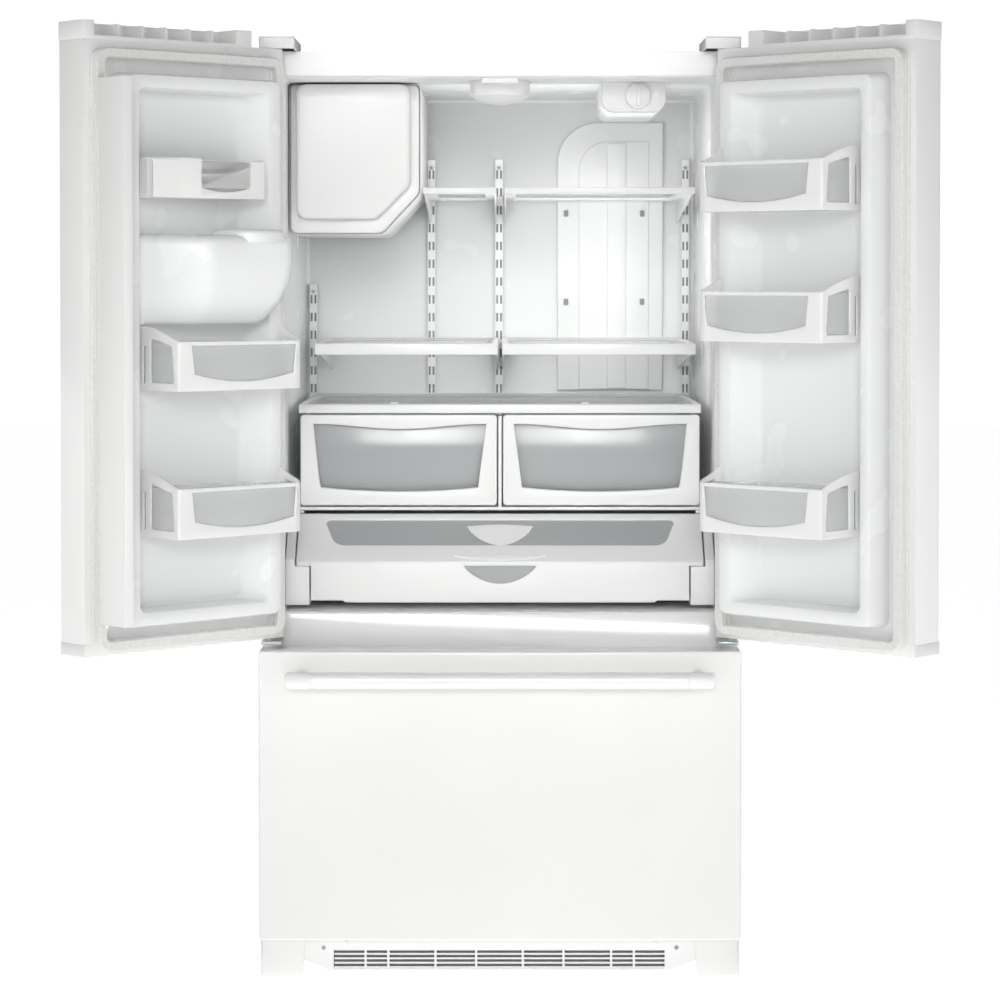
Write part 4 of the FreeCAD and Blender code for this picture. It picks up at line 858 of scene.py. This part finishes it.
def crisper(side):
    """A drawer front with a waved window over a smoked tub."""
    node = "crisper_" + TAG[side]
    low, high = extent(node)
    near, far = sorted((low.x, high.x), key=abs)
    z0, z1, y = low.z, high.z, low.y

    def across(distance):
        return near + math.copysign(distance, far)

    width = abs(far - near)
    hood = [Vector((across(21 + (width - 46) * k / 24), z1 - 18 - 10 * math.sin(math.pi * k / 24) ** 2))
            for k in range(25)]
    sill = bowed((across(width - 40), z0 + 35), (across(37), z0 + 35), 8)
    window = hood + outline_corner(hood[-1], sill[0]) + sill
    frame_mesh = plate("front", [rectangle(sorted((near, far)), (z0, z1), 7), window], y, y + 17, 2.2)
    lip = plate("top", [rectangle(sorted((across(14), across(width - 14))), (y + 1, y + 24), 4)], z1 - 6, z1,
                1.5)
    piece("crisper_front_" + TAG[side], joined(frame_mesh, lip), node, slot="white_plastic")
    tub_x = sorted((across(4), across(width - 4)))

    def tray(shrink, rise=0):
        return rectangle((tub_x[0] + shrink, tub_x[1] - shrink), (y + 16 + shrink, high.y - shrink), 9)

    rows = [(tray(12), z0 + 3), (tray(9), z0 + 4.5), (tray(7), z0 + 9), (tray(0), z1 - 8),
            (tray(0.8), z1 - 6.5),
            (tray(1.8), z1 - 6.5), (tray(2.6), z1 - 8), (tray(9.5), z0 + 10), (tray(12), z0 + 6.5)]
    piece("crisper_tub_" + TAG[side], loft(layers("top", rows)), node, coat="smoked", first=False)


def outline_corner(start, end):
    """A few points that round the way between two outline points."""
    middle = start.lerp(end, 0.86) + Vector((start.x - end.x, 0)) * 0.1
    return [start.lerp(middle, k / 3) for k in (1, 2)] + [middle, middle.lerp(end, 0.5) + Vector((0, -2))]


def half_moon(half, high, low, arch=0, steps=16):
    """A shape with a nearly straight top between -half and half and a round belly down to low."""
    belly = [Vector((-half + 2 * half * k / steps,
                     high - (high - low) * math.sin(math.pi * k / steps) ** 0.7))
             for k in range(steps + 1)]
    roof = [Vector((half - 2 * half * k / steps, high + arch * math.sin(math.pi * k / steps)))
            for k in range(1, steps)]
    return belly + roof


def pantry():
    """The wide drawer, its lid with a long window, and the grip moulded into both."""
    low, high = extent("pantry_drawer")
    x, y, z0, z1 = high.x, low.y, low.z, high.z
    face_outline = [Vector((-x, z0 + 4)), Vector((-x + 62, z0 + 4)), Vector((-x + 66, z0)),
                    Vector((x - 66, z0)),
                    Vector((x - 62, z0 + 4)), Vector((x, z0 + 4)), Vector((x, z1))]
    grip = [Vector((72 - 9 * k, z1 - 37 * math.sin(math.pi * k / 16) ** 0.7)) for k in range(17)]
    face = plate("front", [face_outline + grip + [Vector((-x, z1))]], y, y + 13, 1)

    def tray(shrink):
        return rectangle((-x + 8 + shrink, x - 8 - shrink), (y + 13 + shrink, high.y - shrink), 10)

    rows = [(tray(6), z0 + 4), (tray(2), z0 + 8), (tray(0), z1 - 9), (tray(0.8), z1 - 8), (tray(2.6), z1 - 8),
            (tray(3.5), z1 - 9), (tray(5.5), z0 + 11), (tray(9), z0 + 8)]
    piece("pantry_drawer_front", joined(face, loft(layers("top", rows))), "pantry_drawer")
    backing = plate("front", [half_moon(75, z1 - 1, z1 - 40)], y + 9, y + 12, 1)
    piece("pantry_grip_back", backing, "pantry_drawer", first=False)
    window = plate("front", [half_moon(74, z1 - 1, z1 - 39)], y + 6, y + 8.8, 1)
    piece("pantry_grip_window", window, "pantry_drawer", coat="smoked", slot="clear_plastic", first=False)

    low, high = extent("pantry_lid")
    half, depth, rise = 391, 105, 88
    slope, length = math.atan2(rise, depth), math.hypot(depth, rise)
    tilt = Matrix.Translation((0, low.y, 775)) @ Matrix.Rotation(slope, 4, "X")
    window = outline((-318, 46, 26), (318, 46, 26), (341, 116, 9), (-341, 116, 9))
    sheet = plate("top", [rectangle((-half, half), (-0.5, length - 4), 5), window], -7.5, 0, 2)
    pane = plate("top", [outline((-330, 38, 20), (330, 38, 20), (350, 123, 6), (-350, 123, 6))], -6.5, -3, 1)
    moon = plate("top", [half_moon(64, 98, 47, arch=5)], -3, -0.6, 0.8)
    lip = plate("top", [half_moon(88, 16, 4, arch=2)], -2, 2.2, 1.4)
    nose = plate("side", [outline((-1, -10, 3), (7, -10, 2), (9, 0, 2), (-1, 0, 3))], -half + 1, half - 1, 1)
    for mesh in (sheet, pane, moon, lip):
        mesh.transform(tilt)
    moved(nose, 0, low.y + 1, 777)
    pin_x, pin_y, pin_z = 402, 245, 863
    pin = [(0, 2.2), (0.8, 3), (20, 3)]
    pins = [turned(pin, (sign * pin_x, pin_y, pin_z), (-sign, 0, 0)) for sign in (-1, 1)]
    piece("pantry_lid_frame", joined(sheet, lip, nose, *pins), "pantry_lid")
    piece("pantry_lid_window", pane, "pantry_lid", coat="smoked", slot="clear_plastic", first=False)
    piece("pantry_lid_moon", moon, "pantry_lid", coat="opal", slot="clear_plastic", first=False)


def ladders():
    """Four slotted rails on the back wall, and grey strips behind them: painted shade for the unlit hollow seen
    through their slots.
    """
    pitch, margin = 38, 24
    tree = perforated_plate_tree(FINISH["white_enamel_steel"])
    rails, slot_shade_strips = [], []
    for low, high in islands("shelf_ladders"):
        rows = round((high.z - low.z - margin) / pitch)
        sizes = {"Width": high.x - low.x, "Depth": 6, "Height": high.z - low.z, "Slot width": 4,
                 "Slot height": 18,
                 "Columns": 2, "Rows": rows, "Column pitch": 8, "Row pitch": pitch}
        rail = grown(tree, sizes)
        backing = plate("front", [rectangle((low.x + 1, high.x - 1), (low.z + 1, high.z - 1), 1)], 5, 8, 0.6)
        middle = Vector(((low.x + high.x) / 2, low.y + 3, (low.z + high.z) / 2))
        rails.append(moved(eased(rail, 0.5, segments=1), *middle))
        slot_shade_strips.append(moved(backing, 0, low.y, 0))
    piece("shelf_ladder_rails", joined(*rails), "shelf_ladders")
    # Grey strips behind the rails: painted shade for the dark hollow of each channel, which shows through the
    # slots.
    piece("shelf_ladder_hollows", joined(*slot_shade_strips), "shelf_ladders", coat="grey_plastic", first=False)


def islands(node):
    """The (lowest, highest) corners of each separate solid of a CAD node."""
    bm = bmesh.new()
    source = frame["nodes"][node].data.copy()
    source.transform(HOME.inverted())
    bm.from_mesh(source)
    bmesh.ops.remove_doubles(bm, verts=bm.verts, dist=0.005)
    found, seen = [], set()
    for start in bm.verts:
        if start in seen:
            continue
        heap, members = [start], []
        seen.add(start)
        while heap:
            vertex = heap.pop()
            members.append(vertex.co.copy())
            for edge in vertex.link_edges:
                other = edge.other_vert(vertex)
                if other not in seen:
                    seen.add(other)
                    heap.append(other)
        found.append(tuple(Vector([pick(point[axis] for point in members) for axis in range(3)])
                           for pick in (min, max)))
    bm.free()
    return found


def screw_heads():
    """Pan heads on each place of the CAD's screws, with the cross recess shown as a black cross: painted shade."""
    shade_cross_stands = 0.15
    profile = [(0, 0.4), (0.02, 2.6), (0.3, 3.6), (0.9, 4.3), (1.6, 4.5), (2.3, 4.5)]
    head = turned(profile, (0, 0, 0), (0, 1, 0), sides=20)
    # A thin black cross laid on each head: painted shade for the cross recess, which is not modelled.
    cross = joined(*[plate("front", [rectangle(x, z, 0.3, steps=2)], -shade_cross_stands, 0.1, 0.05)
                     for x, z in (((-2.2, 2.2), (-0.45, 0.45)), ((-0.45, 0.45), (-2.2, 2.2)))])
    for part, mesh, coat in (("heads", head, "zinc_steel"), ("recesses", cross, "black_plastic")):
        item = bpy.data.objects.new("screw_item", moved(mesh, y=shade_cross_stands))
        tree = scattered_tree(FINISH[coat], item)
        rows = []
        for turn, behind in ((0.0, False), (math.pi, True)):
            places = bpy.data.meshes.new("places")
            spots = [((low.x + high.x) / 2, high.y if behind else low.y, (low.z + high.z) / 2)
                     for low, high in islands("screws") if (low.y > 820) == behind]
            places.from_pydata(spots, [], [])
            rows.append(grown(tree, {"Turn": turn}, places))
        bpy.data.objects.remove(item)
        piece("screw_" + part, joined(*rows), "screws", coat=coat, first=part == "heads")


def duct_panel():
    """The air duct on the back wall: a raised panel with one big round corner, grooves, and grey plates at its two
    vents as painted shade for their openings.
    """
    low, high = extent("air_duct_panel")
    face = plate("front", [outline((low.x, low.z, 3), (high.x, low.z, 3), (high.x, high.z, 3),
                                   (low.x, high.z, 86), steps=12)],
                 low.y, high.y, 2.5)
    inner_x = low.x + 46
    ridge = plate("front", [
        outline((inner_x, low.z + 2, 2), (high.x - 30, low.z + 2, 2), (high.x - 30, high.z - 40, 3),
                (inner_x, high.z - 40, 62), steps=12),
    ], low.y - 4, low.y + 2, 2)
    channel = plate("front", [rectangle((inner_x + 60, high.x - 78), (low.z + 4, high.z - 44), 3)], low.y - 7,
                    low.y - 2, 2)
    # Grey plates at the vents: painted shade for their dark openings, which are not cut.
    vent_shade_plates = joined(*[
        plate("front", [rectangle((low.x + across, low.x + across + 9), (z, z + 13), 2)], low.y - 9.2,
              low.y - 1, 0.6)
        for across in (14, 176) for z in (1262, 1450)
    ])
    piece("duct_panel", joined(face, ridge, channel), "air_duct_panel", crease=40)
    piece("duct_outlets", vent_shade_plates, "air_duct_panel", coat="grey_plastic", first=False)


# --- freezer drawer and toe grille ------------------------------------------------------------


def drawer_front():
    """A slab whose front is bowed a little from side to side, with rounded edges."""
    low, high = extent("freezer_front")
    bow, sides = 4, 24

    def plan(inset):
        front = [Vector((-450 + 900 * k / sides, low.y + inset + bow * (2 * k / sides - 1) ** 2))
                 for k in range(sides + 1)]
        shoulders = [Vector((high.x - inset, low.y + 8)), Vector((high.x - inset, high.y - 4)),
                     Vector((low.x + inset, high.y - 4)), Vector((low.x + inset, low.y + 8))]
        return front + shoulders

    rows = [(plan(3.5), low.z), (plan(1.4), low.z + 0.9), (plan(0.3), low.z + 2.6), (plan(0), low.z + 5),
            (plan(0), high.z - 5), (plan(0.3), high.z - 2.6), (plan(1.4), high.z - 0.9), (plan(3.5), high.z)]
    piece("drawer_front", loft(layers("top", rows)), "freezer_front", crease=45)


def drawer_handle():
    low, high = extent("freezer_handle")
    y, z = low.y + GRIP_RADIUS, (low.z + high.z) / 2
    feet = [(x, 0.5, z) for x in (low.x + POST_INSET, high.x - POST_INSET)]
    grip = bar_handle((low.x, y, z), (1, 0, 0), high.x - low.x, GRIP_RADIUS, -y, feet)
    piece("drawer_handle", grip, "freezer_handle")


def toe_grille():
    """A panel with a long opening, ribs and louvres in it, a grey sheet behind as painted shade, and a foot cover
    at each end.
    """
    low, high = extent("base_grille")
    ribs = (-314, -254, -211, -122, -45, 43, 120, 210, 253, 311)
    y, z0, z1 = 38, 10, high.z
    gap = (16, 51)
    end, skirt = 371, 322
    opening = rectangle((ribs[0], ribs[-1]), gap, 2)
    edge = outline((-end, z1, 1), (-end, 32, 4), (-skirt, z0, 5), (skirt, z0, 5), (end, 32, 4), (end, z1, 1))
    panel = plate("front", [edge, opening], y, y + 8, 1.2)
    slats = grown(louvre_tree(FINISH["white_plastic"]), {
        "Length": ribs[-1] - ribs[0], "Depth": 7.0, "Thickness": 3.4, "Rows": 5, "Pitch": 8.4, "Tilt": -0.35,
    })
    bars = [plate("front", [rectangle((x - 2.2, x + 2.2), gap, 0.8)], y + 0.4, y + 7.6, 0.6)
            for x in ribs[1:-1]]
    nubs = [turned([(0, 3), (0.8, 4.2), (4, 4.6)], (x, y - 3, 64), (0, 1, 0)) for x in (-292, 292)]
    feet = []
    for sign in (-1, 1):
        mesh = foot_cover(low, high)
        mesh.transform(Matrix.Scale(sign, 4, (1, 0, 0)))
        if sign < 0:
            mesh.flip_normals()
        feet.append(mesh)
    whole = joined(panel, moved(slats, 0, y + 4, 16.9), *bars, *nubs, *feet)
    piece("toe_grille_panel", whole, "base_grille")
    # A grey sheet behind the louvres: painted shade for the dark space behind the grille.
    shade_sheet = plate("front", [rectangle((ribs[0] - 6, ribs[-1] + 6), (12, 57), 2)], y + 9, y + 12, 0.8)
    piece("toe_grille_screen", shade_sheet, "base_grille", coat="grey_plastic", first=False)


def foot_cover(low, high):
    """The right-hand foot cover: a box open behind and below, rounded at the front."""
    inner, outer, front, back = 369, high.x, low.y, high.y

    def plan(inset):
        return outline((inner + inset, back - 1, 0.5), (inner + inset, front + inset, 7),
                       (outer - inset, front + inset, 7),
                       (outer - inset, back - 1, 0.5))

    rows = [(plan(0.4), low.z), (plan(0), low.z + 1), (plan(0), high.z - 2.5), (plan(0.8), high.z - 0.7),
            (plan(2.6), high.z),
            (plan(4), high.z - 3), (plan(4.2), low.z + 0.4)]
    return loft(layers("top", rows), closed=True)


top_bin()
dispenser_bulge()
ice_box()
for side in (LEFT, RIGHT):
    crisper(side)
pantry()
ladders()
screw_heads()
duct_panel()
drawer_front()
drawer_handle()
toe_grille()

# --- everything that keeps its CAD shape, with its edges eased ---------------------------------

EASED = {
    "cabinet_shell": 0.8, "fresh_food_liner": 1.5, "upper_shelves": 1.5, "middle_shelves": 1.6,
    "crisper_cover": 1.5, "shelf_glass": 0.8, "humidity_slider_left": 0.6, "humidity_slider_right": 0.6,
    "lamp_lens": 1.0, "mullion_guide": 1.0, "filter_housing": 1.5, "filter_cap": 0.8,
    "pantry_surround": 1.2, "freezer_inner_panel": 3.0, "freezer_gasket": 2.0, "freezer_basket": 1.2,
    "freezer_tray": 1.2, "freezer_slides": 0.4, "hinge_covers": 1.0, "door_hinges": 0.6,
    "base_frame": 0.5, "leg_left": 0.8, "leg_right": 0.8, "rear_rollers": 1.5, "compressor": 1.5,
    "condenser_fan": 0.3, "rear_inlets": 0.5, "freezer_liner": 1.5,
}
COAT = {"lamp_lens": "opal"}
for node, width in EASED.items():
    piece(node + "_form", drawn_again(node, width), node, coat=COAT.get(node))
for node, width in {"dispenser_recess": 1.2, "dispenser_paddle": 0.6, "mullion_flap": 1.5}.items():
    piece(node + "_form", drawn_again(node, width, LEFT), node, LEFT)


for node, shown in frame["nodes"].items():
    shown.data.materials.clear()
    shown.data.materials.append(FINISH[SLOT_OF[node]])

# --- floor, lights, camera ------------------------------------------------------------------

# How bright the surround is for the light that falls on the object, and how brightly the floor glows.
AMBIENT = 0.25
FLOOR_GLOW = 0.75


def stage_floor():
    bpy.ops.mesh.primitive_plane_add(size=40, location=(0, 0, -0.0005))
    floor = bpy.context.object
    floor.name = "studio_floor"
    pale = bpy.data.materials.new("pale_studio_floor")
    pale.use_nodes = True
    shader = pale.node_tree.nodes["Principled BSDF"]
    shader.inputs["Base Color"].default_value = linear("FAFAFA")
    shader.inputs["Roughness"].default_value = 0.6
    shader.inputs["Emission Color"].default_value = linear("FFFFFF")
    shader.inputs["Emission Strength"].default_value = FLOOR_GLOW
    floor.data.materials.append(pale)


def softbox(name, place, aim, size, power, seen=True, spread=180):
    lamp = bpy.data.lights.new(name, "AREA")
    lamp.spread = math.radians(spread)
    lamp.shape = "RECTANGLE"
    lamp.size, lamp.size_y = size
    lamp.energy = power
    holder = bpy.data.objects.new(name, lamp)
    holder.location = place
    holder.rotation_euler = (Vector(aim) - Vector(place)).to_track_quat("-Z", "Y").to_euler()
    holder.visible_camera = seen
    bpy.context.scene.collection.objects.link(holder)


def studio():
    """A white surround that the camera sees, a dimmer one for the light, and soft boxes in front and inside."""
    stage_floor()
    world = bpy.data.worlds.new("white_studio")
    world.use_nodes = True
    tree = world.node_tree
    seen = add(tree, "ShaderNodeLightPath")
    power = add(tree, "ShaderNodeMapRange", {"To Min": AMBIENT, "To Max": 1.05},
                {"Value": seen.outputs["Is Camera Ray"]})
    tree.nodes["Background"].inputs["Color"].default_value = (1, 1, 1, 1)
    tree.links.new(power.outputs["Result"], tree.nodes["Background"].inputs["Strength"])
    bpy.context.scene.world = world
    bpy.context.scene.view_settings.view_transform = "Standard"
    softbox("left_box", (-2.9, -5.0, 1.7), (0, 0, 1.0), (2.2, 3.0), 26)
    softbox("right_box", (2.9, -5.0, 1.7), (0, 0, 1.0), (2.2, 3.0), 22)
    softbox("high_box", (0, -4.4, 4.0), (0, 0, 0.9), (3.0, 1.4), 10)
    softbox("front_box", (0, -4.9, 2.2), (0, 0.4, 0.95), (1.7, 1.3), 2.5, seen=False, spread=24)
    softbox("inside_high", (0.12, 0.02, 1.44), (0.12, 1, 1.44), (0.5, 0.42), 1.1, seen=False)
    softbox("inside_low", (0, 0.02, 1.13), (0, 1, 1.13), (0.7, 0.08), 0.5, seen=False)


def camera():
    """Set at eye height in front, turned slightly down, with a little shift."""
    eye = bpy.data.cameras.new("view")
    eye.lens = 105.45
    eye.shift_y = -0.15
    holder = bpy.data.objects.new("view", eye)
    holder.location = (0, -5.731, 1.321)
    holder.rotation_euler = (math.radians(90 - 1.43), 0, 0)
    bpy.context.scene.collection.objects.link(holder)
    bpy.context.scene.camera = holder


studio()
camera()
